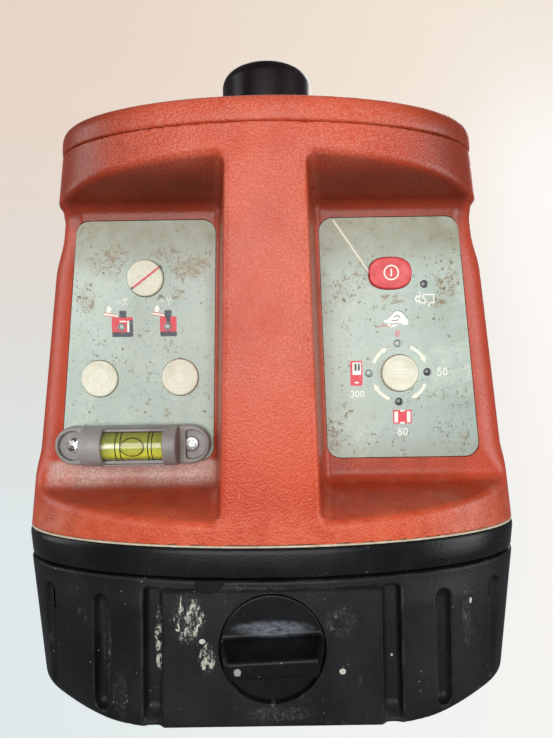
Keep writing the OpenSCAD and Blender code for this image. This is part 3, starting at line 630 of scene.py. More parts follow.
def foil(name):
    """Keypad foil: pale grey-green, hazed with plaster dust, brown dirt in blots and specks, and a
    dirt layer with painted shade towards its edges.
    """
    s = Shader(name, roughness=0.34, specular_ior_level=0.5)
    wide = s.math("ABSOLUTE", s.x)
    s.ground((0.335, 0.42, 0.37), (0.40, 0.485, 0.43), s.patch(0.3, 0.7, 30, 3, 0.5, 4))
    # the right foil's lower corner was wiped clean, along a slanting line
    slant = s.math("SUBTRACT", s.x, s.times(s.math("SUBTRACT", s.z, 69.5), 0.55))
    wiped = s.times(s.step(s.x, 20, 24), s.step(slant, 29.5, 30.5))
    wiped = s.times(wiped, s.step(s.z, 92, 84))
    haze = s.times(s.patch(0.42, 0.66, 4.5, 6, 0.78, 12, warp=0.8),
                   s.patch(0.34, 0.58, 30, 2, 0.5, 33))
    haze = s.times(haze, s.mixf(wiped, 1.0, 0.15))
    s.coat((0.60, 0.65, 0.56), haze, 0.62)
    s.coat((0.33, 0.39, 0.37), wiped, 0.45)
    s.coat((0.70, 0.73, 0.64), s.patch(0.62, 0.70, 1.5, 5, 0.75, 140, (1, 1, 0.16), 0.5),
           s.patch(0.46, 0.6, 22, 2, 0.5, 150), 0.30)
    # yellow-brown dirt layer mixed with painted shade: the roof's painted shadow across the top,
    # and darker towards the lower edge and the pillar
    film_and_shade = s.most([s.times(s.step(s.z, 124, 141), 1.0), s.times(s.step(s.z, 79, 69), 0.45),
                   s.times(s.step(wide, 21.5, 16.0), 0.60),
                   s.times(s.patch(0.45, 0.75, 15, 4, 0.6, 85), 0.24)])
    s.coat((0.205, 0.195, 0.115), film_and_shade, s.mixf(s.patch(0.3, 0.7, 7, 5, 0.7, 160), 0.6, 1.0))
    # brown blots where fingers reach, and specks all over
    touched = s.spots((-25.5, 130.5, 10, 6), (-31.5, 134.5, 8, 3), (-49.0, 132.0, 9, 7),
                      (-56.5, 121, 4, 6), (-29.0, 121.5, 4, 2.5), (25.5, 122.0, 9, 5),
                      (29.5, 128, 3.5, 5), (39.5, 119.3, 6, 2.5), (56.0, 124.5, 5, 8),
                      (52.5, 117.5, 5, 2.5), (24.1, 84.5, 3.5, 3.5), (20.5, 77.0, 5, 8),
                      (-32.1, 84.6, 2.2, 2.0), (61.5, 76, 3, 3))
    smudge = s.noise(1.7, 5, 0.75, 55, warp=1.1)
    drift = s.noise(6.5, 3, 0.6, 155)
    blot = s.math("ADD", smudge, s.math("ADD", s.times(touched, 0.10), s.times(drift, 0.22)))
    s.coat((0.155, 0.11, 0.045), s.step(blot, 0.715, 0.765), 0.85)
    s.coat((0.30, 0.25, 0.13), touched, s.step(drift, 0.40, 0.62), 0.30)
    patchy = s.patch(0.42, 0.58, 6, 3, 0.6, 46)
    for size, low in ((0.9, 0.66), (1.7, 0.685)):
        speck = s.times(s.patch(low, low + 0.05, size, 2, 0.5, 44 + size), patchy)
        s.coat((0.10, 0.07, 0.03), speck, 0.88)
    return s.done(s.math("ADD", s.noise(9, 3, 0.6, 6), s.times(s.noise(0.5, 2), 0.1)), 0.03,
                  roughness=s.mixf(haze, 0.26, 0.55))


def key_cream(name):
    s = Shader(name, roughness=0.42, subsurface_weight=0.15, subsurface_scale=0.001)
    s.ground((0.64, 0.63, 0.49), (0.73, 0.72, 0.59), s.patch(0.3, 0.7, 5, 4, 0.6, 7))
    s.coat((0.42, 0.38, 0.24), s.patch(0.58, 0.70, 1.6, 5, 0.7, 30, warp=0.5), 0.45)
    return s.done(s.noise(0.7, 4, 0.65, 3), 0.03)


def marks(name, colour):
    """Printing ink, slightly rubbed."""
    s = Shader(name)
    s.ground(colour, tuple(c * 0.72 + 0.10 for c in colour), s.patch(0.45, 0.75, 1.3, 5, 0.7, 19))
    return s.done(s.noise(0.3, 2), 0.004)


def vial_liquid(name):
    """Yellow-green spirit in a clear tube, with painted light and shade: bright yellow low, dark
    olive high, darker towards the left end, a painted highlight line along the middle and a painted
    shaded strip at the very bottom.
    """
    s = Shader(name, roughness=0.04, specular_ior_level=0.6, transmission_weight=0.25, ior=1.45)
    # painted light and shade: bright yellow low on the tube, dark olive high
    s.ground((0.95, 0.98, 0.10), (0.33, 0.35, 0.06), s.step(s.z, 71.5, 77.5))
    s.coat((0.20, 0.27, 0.08), s.step(s.x, -45.5, -50.5), 0.6)
    # painted highlight line along the middle of the tube
    painted_highlight_line = s.times(s.step(s.z, 74.2, 75.2), s.step(s.z, 76.2, 75.2),
                   s.patch(0.35, 0.6, 5, 3, 0.6, 3))
    s.coat((0.95, 0.96, 0.72), painted_highlight_line, 0.9)
    # painted shade along the very bottom of the tube
    s.coat((0.20, 0.21, 0.01), s.step(s.z, 72.4, 71.0), 0.6)
    s.coat((0.5, 0.52, 0.1), s.patch(0.4, 0.8, 3, 3), 0.2)
    return s.done(s.noise(6, 1), 0.002, coat_weight=0.6, coat_roughness=0.05)


# x, z and half sizes of the vial's bubble
BUBBLE = (-41.3, 74.9, 3.7, 2.9)


def bubble_shell(name):
    """Air bubble: clear in the middle, with painted shade: darker towards its top, and a dark
    painted outline where the skin turns away.
    """
    s = Shader(name, roughness=0.05, coat_weight=0.5)
    rise = s.times(s.math("SUBTRACT", s.z, BUBBLE[1]), 1 / BUBBLE[3])
    # painted shade: the bubble lighter low, darker high
    s.ground((0.46, 0.47, 0.05), (0.30, 0.31, 0.06), s.step(rise, -0.7, 0.6))
    # painted shade: dark outline round the bubble's edge
    s.coat((0.035, 0.035, 0.008), s.step(s.oval(*BUBBLE), 0.80, 0.92), 0.85)
    s.coat((0.62, 0.62, 0.2), s.patch(0.5, 0.8, 2.5, 3), 0.3)
    return s.done(s.noise(3, 1), 0.002)


def tarnished(name):
    """Screw whose plating has gone black in patches."""
    s = Shader(name, roughness=0.3, metallic=1.0)
    dark = s.patch(0.44, 0.54, 2.2, 4, 0.6, 26)
    s.ground((0.80, 0.80, 0.80), (0.05, 0.045, 0.04), dark)
    return s.done(s.noise(0.4, 4), 0.05, metallic=s.mixf(dark, 1.0, 0.1),
                  roughness=s.mixf(dark, 0.25, 0.7))


MAT = {
    "red": paint_red("moulding_red"),
    "black": plastic_black("moulding_black", 0.0065, 0.40, 0.028, grain=0.6, splat=0.95),
    "frame": plastic_black("frame_black", 0.006, 0.24, 0.02, specks=0.25),
    "head": plastic_black("head_black", 0.004, 0.30, 0.012, hue=(1.6, 0.9, 1.1), specks=0.0),
    "knob": plastic_black("knob_black", 0.004, 0.34, 0.018, band=0.55),
    "rubber": simple("rubber_black", (0.012, 0.012, 0.012), (0.03, 0.03, 0.029), 0.75, depth=0.03),
    "seal": simple("seal_cream", (0.45, 0.38, 0.27), (0.62, 0.56, 0.44), 0.7, size=4, depth=0.04),
    "foil": foil("keypad_foil"),
    "cream": key_cream("key_cream"),
    "key_red": simple("key_red", (0.56, 0.030, 0.038), (0.68, 0.075, 0.080), 0.38, size=4,
                      depth=0.03),
    # lighter cream for the keys' raised marks: a painted highlight
    "relief_cream_painted_light": simple("key_relief_painted_light", (0.76, 0.75, 0.64), (0.86, 0.85, 0.76), 0.35, size=3),
    "crease": simple("foil_crease", (0.56, 0.54, 0.42), (0.68, 0.65, 0.54), 0.4, size=5,
                     depth=0.03),
    "bubble": bubble_shell("bubble_shell"),
    "screw_dark": tarnished("screw_tarnished"),
    "ink_white": marks("ink_white", (0.86, 0.88, 0.80)),
    "ink_cream": marks("ink_cream", (0.78, 0.80, 0.66)),
    "ink_dot": marks("ink_dot", (0.26, 0.26, 0.24)),
    "ink_red": marks("ink_red", (0.68, 0.05, 0.075)),
    "ink_pink": marks("ink_pink", (0.74, 0.16, 0.18)),
    "ink_dark": marks("ink_dark", (0.045, 0.055, 0.075)),
    "ink_grey": marks("ink_grey", (0.25, 0.28, 0.27)),
    "lamp": simple("lamp_smoked", (0.045, 0.055, 0.06), (0.10, 0.11, 0.12), 0.12, size=2,
                   coat_weight=0.5),
    "lamp_clear": simple("lamp_clear", (0.20, 0.23, 0.22), (0.38, 0.42, 0.40), 0.12, size=1.5,
                         coat_weight=0.6),
    "holder": simple("holder_grey", (0.235, 0.215, 0.205), (0.29, 0.27, 0.26), 0.42, size=7,
                     depth=0.02),
    "liquid": vial_liquid("vial_liquid"),
    "line": simple("vial_line", (0.01, 0.01, 0.008), (0.03, 0.03, 0.02), 0.4),
    "screw": brushed("screw_steel", (0.36, 0.36, 0.37), (0.50, 0.50, 0.51), 0.36, (1, 1, 1)),
    "steel": brushed("steel", (0.50, 0.51, 0.52), (0.66, 0.67, 0.68), 0.30),
    "alloy": simple("die_cast_alloy", (0.55, 0.56, 0.57), (0.68, 0.69, 0.70), 0.42, 1.0, size=9,
                    depth=0.03),
    "brass": brushed("brass", (0.68, 0.48, 0.17), (0.80, 0.60, 0.28), 0.26, (1, 1, 8)),
    "board": simple("board_green", (0.012, 0.11, 0.045), (0.02, 0.17, 0.07), 0.35, size=5),
    "sleeve": simple("cell_sleeve", (0.02, 0.10, 0.07), (0.03, 0.14, 0.09), 0.3, size=12),
    "nylon": simple("nylon_white", (0.68, 0.68, 0.62), (0.78, 0.78, 0.73), 0.45, size=6),
    "glass": simple("optic_glass", (0.75, 0.85, 0.88), (0.85, 0.93, 0.95), 0.03, size=9,
                    transmission_weight=0.9, ior=1.5),
    "window": simple("window_glass", (0.16, 0.03, 0.03), (0.22, 0.05, 0.05), 0.05, size=9,
                     transmission_weight=0.6, ior=1.5),
}

# CAD nodes shown as they are, by their material
NODE_MATERIAL = {
    "steel": ["handle_screws", "casing_screws", "frame_screws", "latch_keeper", "level_motors",
              "ring_pivots", "carrier_pivots", "spin_motor", "rotor_bearings", "cell_contacts",
              "lock_cam"],
    "alloy": ["chassis", "gimbal_ring", "laser_carrier", "rotor_shaft"],
    "board": ["key_boards", "main_board"],
    "brass": ["supply_contacts", "laser_module", "motor_pulley", "level_screw_x", "level_screw_y",
              "tripod_insert"],
    "rubber": ["rear_pads", "battery_feet", "drive_belt", "rotor_pulley", "key_switches"],
    "black": ["battery_lid"],
    "glass": ["laser_lens", "head_prism"],
    "window": ["head_window"],
    "nylon": ["level_nut_x", "level_nut_y", "tilt_sensors"],
    "sleeve": ["battery_cells"],
}
for kind, nodes in NODE_MATERIAL.items():
    for node in nodes:
        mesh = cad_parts[node].data
        mesh.materials.clear()
        mesh.materials.append(MAT[kind])


# ---------------------------------------------------------------- red casing
CASING_LOW_A, CASING_TOP_A = 77.2, 65.0    # half width at its foot and at its top
SHELL_T = 3.0
RECESS_FRONT, RECESS_FLOOR = -64.0, -40.0
SPLIT_Y = 10.0                             # where the front casing meets the rear cover


def casing_a(z):
    return CASING_LOW_A - (CASING_LOW_A - CASING_TOP_A) * (z - CASING_Z0) / (CASING_Z1 - CASING_Z0)


def recess_d(x, y, z):
    """The keypad recesses, both sides at once."""
    d = y - RECESS_FRONT
    # planes that lean by their slope per millimetre of depth, brought back to true distances
    wall = (11.8 + (128 - z) * 0.0276 + 0.145 * d - np.abs(x)) * 0.9896
    roof = (z - (157.2 - 0.354 * d)) * 0.9427
    sill = (55.4 + 0.31 * d - z) * 0.955
    return rmax(rmax(wall, y - RECESS_FLOOR, 2.2), rmax(roof, sill, 3.0), 2.6)


def casing_d(x, y, z):
    """Shell of the casing, front and back as one."""
    env = plan_d(x, y, casing_a(z), BODY_BACK, BODY_POWER)
    rec = recess_d(x, y, z)
    side = smoothstep(50, 62, np.abs(x))
    # the recess's edge is crisp at the pillar and well rounded down the outer sides
    lip = 1.8 + 6.5 * side * smoothstep(62, 74, z) * smoothstep(151, 145, z)
    # the sides are pinched in below the roofs' outer ends
    pinch = 1.5 * side * smoothstep(128, 141, z) * smoothstep(150.5, 148.2, z)
    env = env + pinch * smoothstep(8, -26, y)
    outer = cut(env, rec, lip)
    hollow = rmax(env + SHELL_T, SHELL_T - rec, np.maximum(lip - SHELL_T, 0.2))
    shell = np.maximum(outer, -hollow)
    shell = rmax(shell, z - CASING_Z1, 0.5)
    return rmax(shell, CASING_Z0 - 0.3 - z, 0.4)


FOIL_Y, FOIL_BACK = -39.7, -38.6
KEY_R, KEY_GAP = 5.7, 0.22
KEYS = {"cancel_key": (-38.4, 126.6), "axis_key_x": (-53.2, 95.4), "axis_key_y": (-28.0, 95.5),
        "speed_key": (40.9, 95.8)}
POWER = (38.2, 127.1)
POWER_HALF = (6.65, 5.0)
foil_right = rounded_poly([(16.05, 144.65), (18.05, 69.45), (65.75, 69.45), (59.45, 144.65)], 4.2)
foil_left = [(-x, z) for x, z in foil_right]
pocket_right = rounded_poly([(15.8, 144.85), (17.8, 69.2), (66.0, 69.2), (59.7, 144.85)], 4.4)
pocket_left = [(-x, z) for x, z in pocket_right]


def power_loop(grow, count=64):
    """Outline of the oval power key, fuller than an ellipse."""
    t = np.linspace(0, 2 * math.pi, count + 1)[:-1]
    return [tuple(c + (half + grow) * np.sign(part(a)) * abs(part(a)) ** 0.8
                  for c, half, part in zip(POWER, POWER_HALF, (math.cos, math.sin))) for a in t]


def key_holes(left):
    """The holes a foil and the casing behind it have for the keys."""
    round_holes = [disc_loop(*at, KEY_R + KEY_GAP) for at in KEYS.values() if (at[0] < 0) == left]
    return round_holes if left else round_holes + [power_loop(KEY_GAP)]


def front_d(x, y, z):
    return rmax(casing_d(x, y, z), y - (SPLIT_Y - 0.05), 0.3)


field_piece("casing_front", front_d, (-78, -64, 49), (78, SPLIT_Y, 165), 0.9, "housing", MAT["red"],
            ("front_casing",),
            cutters=[([pocket_left], -44, -33), ([pocket_right], -44, -33)])
build("pocket_floors", [(*plate([p] + key_holes(left), FOIL_BACK, -37), MAT["red"], False)
                        for p, left in ((pocket_left, True), (pocket_right, False))],
      "housing", ("front_casing",))

BACK_SCREWS = [(-60, 70), (60, 70), (-54, 146), (54, 146)]


def rear_d(x, y, z):
    """Rear half of the casing, with a sunk screw tube at each corner."""
    d = rmax(casing_d(x, y, z), SPLIT_Y + 0.05 - y, 0.3)
    for sx, sz in BACK_SCREWS:
        r = np.hypot(x - sx, z - sz)
        inside = plan_d(x, y, casing_a(z), BODY_BACK, BODY_POWER) + 1.5
        d = np.minimum(d, common(r - 4.8, SPLIT_Y + 0.5 - y, y - 62, inside))
        d = cut(d, np.maximum(r - 3.05, 17.8 - y), 0.5)
    return d


field_piece("casing_back", rear_d, (-78, SPLIT_Y, 49), (78, 66, 165), 1.05, "housing", MAT["red"],
            ("rear_cover",))

# ---------------------------------------------------------------- top cap and collar
CAP_HOLE, CAP_A = 25.6, 65.1
CAP_SHOULDER, CAP_TOP = 173.2, 174.0


def cap_plan(inset):
    return outline(CAP_A, FULL_BACK, FULL_POWER, OUTLINE_POINTS, inset)


cap_rings = []
base_line = cap_plan(0)
cap_rings.append(circle_ring(base_line, CAP_HOLE, 165.3))
for k in (0.35, 0.7):
    cap_rings.append(flat_ring(cap_plan(3), 165.1) * k
                     + circle_ring(base_line, CAP_HOLE, 165.1) * (1 - k))
for inset, z in ((3.0, 165.0), (0.9, 165.0), (0.35, 165.15), (0.05, 165.6), (0.0, 167.0),
                 (0.05, 168.6), (0.2, 169.8), (0.5, 170.8), (0.95, 171.6), (1.6, 172.3),
                 (2.4, 172.75), (3.4, 173.0), (5.0, CAP_SHOULDER)):
    cap_rings.append(flat_ring(cap_plan(inset), z))
rim = cap_rings[-1]
inner = circle_ring(rim, CAP_HOLE + 5, CAP_TOP)
for k in (0.2, 0.45, 0.7, 0.9, 1.0):
    ring = rim * (1 - k) + inner * k
    ring[:, 2] = CAP_SHOULDER + (CAP_TOP - CAP_SHOULDER) * math.sin(k * math.pi / 2)
    cap_rings.append(ring)
cap_rings.append(circle_ring(rim, CAP_HOLE + 0.4, CAP_TOP))
cap_rings.append(circle_ring(rim, CAP_HOLE, CAP_TOP - 0.3))
build("cap", [(*loft(cap_rings, closed=True), MAT["red"], True)], "housing", ("top_cap",))

# radius and height round the rubber collar's section
COLLAR = [(24.8, 169.2), (25.55, 169.2), (25.55, 174.0), (28.6, 174.0), (29.0, 174.3),
          (29.0, 174.8), (28.2, 175.4), (27.6, 175.5), (27.2, 175.2), (26.8, 175.2),
          (26.4, 175.9), (25.9, 176.3), (25.2, 176.35), (24.8, 176.0), (24.7, 175.0)]
build("collar", [(*loft(turned(COLLAR), closed=True), MAT["rubber"], True)],
      "housing", ("head_collar",))

# ---------------------------------------------------------------- gasket and base frame
SEAL_A = 77.35
seal = []
for inset, z in ((3.0, 49.22), (0.4, 49.22), (0.1, 49.3), (0.05, 49.5), (0.1, 49.7), (0.4, 49.78),
                 (3.0, 49.78)):
    seal.append(flat_ring(outline(SEAL_A, BODY_BACK, BODY_POWER, OUTLINE_POINTS, inset), z))
build("seal", [(*loft(seal, closed=True), MAT["seal"], True)], "housing", ("base_gasket",))

# inset, height and half width of the base frame's section, from its hollow underside to its top
frame_rings = []
for inset, z, a in ((12.0, 45.2, 77.2), (3.1, 45.2, 77.2), (3.0, 41.3, 76.9), (2.7, 41.05, 76.9),
                    (0.6, 41.0, 76.9), (0.15, 41.2, 76.9), (0.0, 41.7, 76.95), (0.0, 44.0, 77.2),
                    (0.0, 47.4, 77.55), (0.12, 48.3, 77.6), (0.45, 48.9, 77.6), (0.9, 49.15, 77.6),
                    (1.6, 49.2, 77.6), (12.0, 49.2, 77.6)):
    frame_rings.append(flat_ring(outline(a, FULL_BACK, FULL_POWER, OUTLINE_POINTS, inset), z))
build("base_band", [(*loft(frame_rings, poles=((0, 30, 45.2), (0, 30, 49.2))), MAT["frame"], True)],
      "housing", ("base_frame",))


# ---------------------------------------------------------------- carry handle
HANDLE_Z0, HANDLE_Z1, HANDLE_MID = 49.25, 164.95, 107.0
HANDLE_ROUND = 8.0
FINGER_PITCH, FINGER_DEPTH = 22.5, 1.1
PAD_Z0 = (60, 140)


def handle_d(x, y, z):
    """Upright bar that flares at both ends, with finger waves in front and pads sunk behind."""
    off_mid = np.abs(z - HANDLE_MID)
    flare = np.exp(-(z - 49.2) / 5) + np.exp(-(164.9 - z) / 5)
    half = 16.2 + 3.5 * flare
    wave = FINGER_DEPTH * np.cos((z - HANDLE_MID) * 2 * math.pi / FINGER_PITCH)
    front = 101.2 - 3.0 * flare + wave * smoothstep(50, 36, off_mid)
    back = 125.2 - 0.6 * smoothstep(44, 20, off_mid)
    cy, hy = (front + back) / 2, (back - front) / 2
    q0, q1 = np.abs(x) - (half - HANDLE_ROUND), np.abs(y - cy) - (hy - HANDLE_ROUND)
    d = np.hypot(np.maximum(q0, 0), np.maximum(q1, 0)) + np.minimum(np.maximum(q0, q1), 0)
    d = common(d - HANDLE_ROUND, HANDLE_Z0 - z, z - HANDLE_Z1)
    for pz in PAD_Z0:
        d = cut(d, box_d(x, y, z, (-10.2, 123.5, pz - 0.2), (10.2, 130, pz + 16.2)), 0.3)
    return d


field_piece("grip_bar", handle_d, (-21, 97, 49), (21, 126, 165), 0.9, "housing", MAT["black"],
            ("carry_handle", "handle_grip"))

# ---------------------------------------------------------------- rotating head
HEAD_R, HEAD_TOP, HEAD_FOOT, HEAD_ROUND = 16.7, 208.3, 161.0, 4.6
HEAD_BORE, HEAD_ROOF = 14.75, 3.0
WINDOW_TURN = math.radians(45)


def head_d(x, y, z):
    """Hollow head with a window to one side, a hole in its top and a fine groove round it."""
    r = np.hypot(x, y)
    d = rmax(r - HEAD_R, z - HEAD_TOP, HEAD_ROUND)
    d = np.maximum(d, HEAD_FOOT - z)
    d = bore(d, r - HEAD_BORE, z - (HEAD_TOP - HEAD_ROOF))
    u = x * math.cos(WINDOW_TURN) + y * math.sin(WINDOW_TURN)
    w = -x * math.sin(WINDOW_TURN) + y * math.cos(WINDOW_TURN)
    d = cut(d, box_d(u, w, z, (10, -6.4, 184.1), (24, 6.4, 198.9), 1.2), 0.5)
    d = cut(d, np.maximum(r - 4.1, HEAD_TOP - 5 - z), 0.6)
    ring = np.maximum(np.abs(z - 179.2) - 0.35, HEAD_R - 0.6 - r)
    return cut(d, ring, 0.25)


field_piece("head_shell", head_d, (-17, -17, 161), (17, 17, 209), 0.55, "rotor", MAT["head"],
            ("head_cap",))

# ---------------------------------------------------------------- battery foot
FOOT_LOW_A, FOOT_TOP_A, FOOT_TOP = 73.0, 77.2, 40.25
GROOVE_TURNS = (50.5, 29.0, 6.0)
GROOVE_BACK_Y = (-8, 16, 40, 64)
GROOVE_MID, GROOVE_HALF, GROOVE_R = 18.4, 13.9, 2.35
PANEL_EDGE, RECESS_EDGE, RECESS_TOP = 30.6, 35.6, 37.6
KNOB = (0.0, 21.0)
KNOB_R, KNOB_GAP, SHAFT_HOLE_R = 14.6, 0.28, 4.1
THREAD_BOSS_R, THREAD_BOSS_TOP = 15.0, 22.0
THREAD_SEAT_R, THREAD_SEAT_TOP = 11.0, 18.5
RUBBER_FEET = ((46, -38), (36, 84))


def panel_y(z):
    """The lock panel leans back as it rises."""
    return -63.3 + 1.9 * (z - 0.5) / 37.1


def groove_centres():
    """Where the upright grooves stand, first round the front corner, then along the side."""
    for t in GROOVE_TURNS:
        t = math.radians(t)
        yield 76.2 * math.cos(t), WIDE_Y - (FRONT_B + 0.6) * math.sin(t)
    for y in GROOVE_BACK_Y:
        share = (y - WIDE_Y) / FULL_BACK
        yield 76.8 * (1 - share ** FULL_POWER) ** (1 / FULL_POWER), y


def battery_d(x, y, z):
    """Hollow foot, open on top, with the lock panel's recess in front and grooves round it."""
    a = FOOT_LOW_A + (FOOT_TOP_A - FOOT_LOW_A) * (z - 0.5) / 39.7
    ax = np.abs(x)
    skin = plan_d(x, y, a, FULL_BACK, FULL_POWER)
    nose = (1.3 * smoothstep(40, 31, z) + 1.3 * smoothstep(34, 4, z)) * smoothstep(6, 35, ax)
    nose = nose * smoothstep(74, 37, ax) * smoothstep(-20, -36, y)
    env = plan_d(x, y + nose, a, FULL_BACK, FULL_POWER)
    d = rmax(env, z - FOOT_TOP, 0.7)
    round_edge = np.maximum(smoothstep(42, 64, ax), smoothstep(0, 40, y))
    d = rmax(d, 0.05 - z, 0.6 + 3.4 * round_edge)
    front = y - panel_y(z)
    d = cut(d, rmax(rmax(ax - RECESS_EDGE, front, 0.4), z - RECESS_TOP, 1.0), 0.3)
    mid = (PANEL_EDGE + RECESS_EDGE) / 2
    deep = 1.0 + 2.8 * smoothstep(0.0, 5.0, z)
    slot = rmax(np.abs(ax - mid) - (RECESS_EDGE - mid), front - deep, 1.4)
    d = cut(d, rmax(slot, z - RECESS_TOP, 1.6), 0.8)
    beyond = np.maximum(np.abs(z - GROOVE_MID) - GROOVE_HALF, 0)
    for gx, gy in groove_centres():
        d = cut(d, np.hypot(np.hypot(ax - gx, y - gy), beyond) - GROOVE_R, 0.7)
    # the inside, the seat of the lid round its mouth and the boss of the tripod thread
    hollow = bore(common(skin + 2.5, 3.0 - z), ax - 38, y + 50)
    ledge = common(skin + 2.3, 36.4 - z, z - FOOT_TOP)
    spigot = common(skin + 3.9, 39.0 - z, z - 42.8)
    seat = bore(np.minimum(ledge, spigot), skin + np.where(z > 37.4, 5.9, 7.9))
    seat = bore(seat, ax - 37, y + 51, z - 39.5)
    axis_r = np.hypot(x, y)
    hollow = bore(hollow, axis_r - THREAD_BOSS_R, z - THREAD_BOSS_TOP)
    d = np.minimum(bore(d, hollow), seat)
    d = bore(d, np.hypot(x - KNOB[0], z - KNOB[1]) - SHAFT_HOLE_R, y + 40)
    d = bore(d, axis_r - THREAD_SEAT_R, z - THREAD_SEAT_TOP)
    for fx, fy in RUBBER_FEET:
        d = bore(d, np.hypot(ax - fx, y - fy) - 6.0, z - 2.0)
    return d


field_piece("foot_shell", battery_d, (-78, -65, 0), (78, 126.5, 43), (0.75, 0.8, 0.8), "battery",
            MAT["black"], ("battery_housing",),
            cutters=[([disc_loop(*KNOB, KNOB_R + KNOB_GAP, 128)], -70, -56.7)])


def lug_d(x, y, z):
    """Small moulded half moon in the lip over the panel."""
    return rmax(np.hypot((x + 17) / 1.25, z - 40.6) - 3.5, common(y + 60, -63.7 - y, z - 40.5), 0.4)


field_piece("lip_lug", lug_d, (-22, -64, 36), (-12, -59, 41), 0.25, "battery", MAT["frame"])

# ---------------------------------------------------------------- lock knob
BAR_TILT = math.radians(2.4)
KNOB_FACE, KNOB_BACK = -61.8, -56.8
BAR_FRONT = -73.3
BAR_HALF, BAR_LENGTH = (3.1, 0.6), (14.1, 2.2)    # half sizes at its foot, and what they lose
DOT_AT, DOT_R = -8.9, 1.0


def knob_uw(x, z):
    """Places along and across the bar, which stands a little off level."""
    dx, dz = x - KNOB[0], z - KNOB[1]
    return (dx * math.cos(BAR_TILT) + dz * math.sin(BAR_TILT),
            -dx * math.sin(BAR_TILT) + dz * math.cos(BAR_TILT))


def knob_d(x, y, z):
    """Disc with a tapering bar across it and a shaft behind."""
    u, w = knob_uw(x, z)
    r = np.hypot(u, w)
    disc = rmax(r - KNOB_R, np.maximum(KNOB_FACE - y, y - KNOB_BACK), 0.45)
    t = np.clip((KNOB_FACE - y) / (KNOB_FACE - BAR_FRONT), 0, 1)
    bar = rmax(np.abs(w) - (BAR_HALF[0] - BAR_HALF[1] * t),
               np.abs(u) - (BAR_LENGTH[0] - BAR_LENGTH[1] * t), 1.2)
    bar = rmax(bar, np.maximum(BAR_FRONT - y, y - KNOB_BACK), 0.9)
    bar = np.maximum(bar, r - KNOB_R)
    bar = cut(bar, np.maximum(np.hypot(u - DOT_AT, w) - DOT_R, y - BAR_FRONT - 0.3), 0.1)
    shaft = common(r - 4.0, KNOB_BACK - 0.5 - y, y + 46)
    return np.minimum(rmin(disc, bar, 1.1), shaft)


field_piece("lock_grip", knob_d, (-15, -74, 6), (15, -46, 36), 0.42, "knob", MAT["knob"],
            ("lock_knob",))
dot = (KNOB[0] + DOT_AT * math.cos(BAR_TILT), KNOB[1] + DOT_AT * math.sin(BAR_TILT))
build("knob_dot", [(*plate([disc_loop(*dot, DOT_R, 24)], BAR_FRONT + 0.15, BAR_FRONT + 0.5),
                    MAT["ink_dot"], False)], "knob")

# ---------------------------------------------------------------- keypads
LAMP_R, LAMP_GAP = 1.2, 0.05
LEFT_LAMPS = ((-46.2, 111.5), (-31.7, 111.4))
RIGHT_LAMPS = ((48.9, 123.6), (40.4, 105.1), (49.6, 96.0), (31.3, 95.8), (40.6, 86.8))
CLEAR_LAMPS = LEFT_LAMPS + (RIGHT_LAMPS[1], RIGHT_LAMPS[3])
VIAL = (-42.6, -44.3, 74.8)
VIAL_SCREWS = (-60.75, -24.45)
INK = 0.04    # thickness of a layer of print


def ink(*shapes, material="ink_white", layer=1):
    """Print on a foil, over the layers below it: each shape is a list of loops."""
    return [(*plate(loops, FOIL_Y - INK * layer, FOIL_Y - INK * (layer - 1)), MAT[material], False)
            for loops in shapes]


def ring_loops(x, z, rx, rz, width):
    """Ring or oval round (x, z), its outline width thick."""
    return [disc_loop(x, z, rx, 32, rz), disc_loop(x, z, rx - width, 32, rz - width)]


def bent(points, steps=6):
    """Smooth line through a few points."""
    p = np.array(points, float)
    p = np.vstack([2 * p[0] - p[1], p, 2 * p[-1] - p[-2]])
    out = []
    for i in range(1, len(p) - 2):
        for t in np.linspace(0, 1, steps, endpoint=False):
            out.append(0.5 * (2 * p[i] + (p[i + 1] - p[i - 1]) * t
                              + (2 * p[i - 1] - 5 * p[i] + 4 * p[i + 1] - p[i + 2]) * t * t
                              + (3 * p[i] - p[i - 1] - 3 * p[i + 1] + p[i + 2]) * t ** 3))
    out.append(p[-2])
    return out


# strokes of the marks that aren't made of rings, in a box one unit high
GLYPHS = {
    "3": [[(0.05, 0.86), (0.3, 1.0), (0.55, 0.77), (0.28, 0.54)],
          [(0.28, 0.54), (0.6, 0.27), (0.3, 0.0), (0.02, 0.17)]],
    "5": [[(0.52, 1.0), (0.13, 1.0)], [(0.13, 1.0), (0.07, 0.52)],
          [(0.07, 0.52), (0.32, 0.64), (0.58, 0.33), (0.30, 0.0), (0.02, 0.15)]],
    "X": [[(0.02, 1.0), (0.6, 0.0)], [(0.6, 1.0), (0.02, 0.0)]],
    "Y": [[(0.02, 1.0), (0.32, 0.45)], [(0.62, 1.0), (0.32, 0.45)], [(0.32, 0.5), (0.32, 0.0)]],
    "+": [[(0.05, 0.5), (0.6, 0.5)], [(0.32, 0.2), (0.32, 0.8)]],
}


# middle height, half sizes and pen of the rings in a figure, as shares of its height and pen
RINGS = {"0": [(0.5, 0.31, 0.5, 1.0)], "8": [(0.26, 0.3, 0.27, 0.9), (0.77, 0.26, 0.24, 0.9)]}


def text(word, x, z, height, width=0.3):
    """Loops for a short mark centred on (x, z)."""
    pitch = 0.76 * height
    shapes = []
    left = x - pitch * len(word) / 2 + 0.07 * height
    foot = z - height / 2
    for i, c in enumerate(word):
        x0 = left + i * pitch
        for mid, rx, rz, share in RINGS.get(c, ()):
            shapes.append(ring_loops(x0 + 0.31 * height, foot + mid * height, rx * height,
                                     rz * height, width * share))
        for line in GLYPHS.get(c, ()):
            p = [(x0 + u * height, foot + w * height) for u, w in line]
            shapes.append(curve(p, width) if len(p) > 2 else pen(p, width))
    return shapes


def box(*corners_and_radius):
    return [rect_loop(*corners_and_radius)]


def pen(points, width):
    """A straight stroke through points."""
    return [stroke_loop(points, width)]


def curve(points, width):
    """A smooth stroke through points."""
    return [stroke_loop(bent(points), width)]


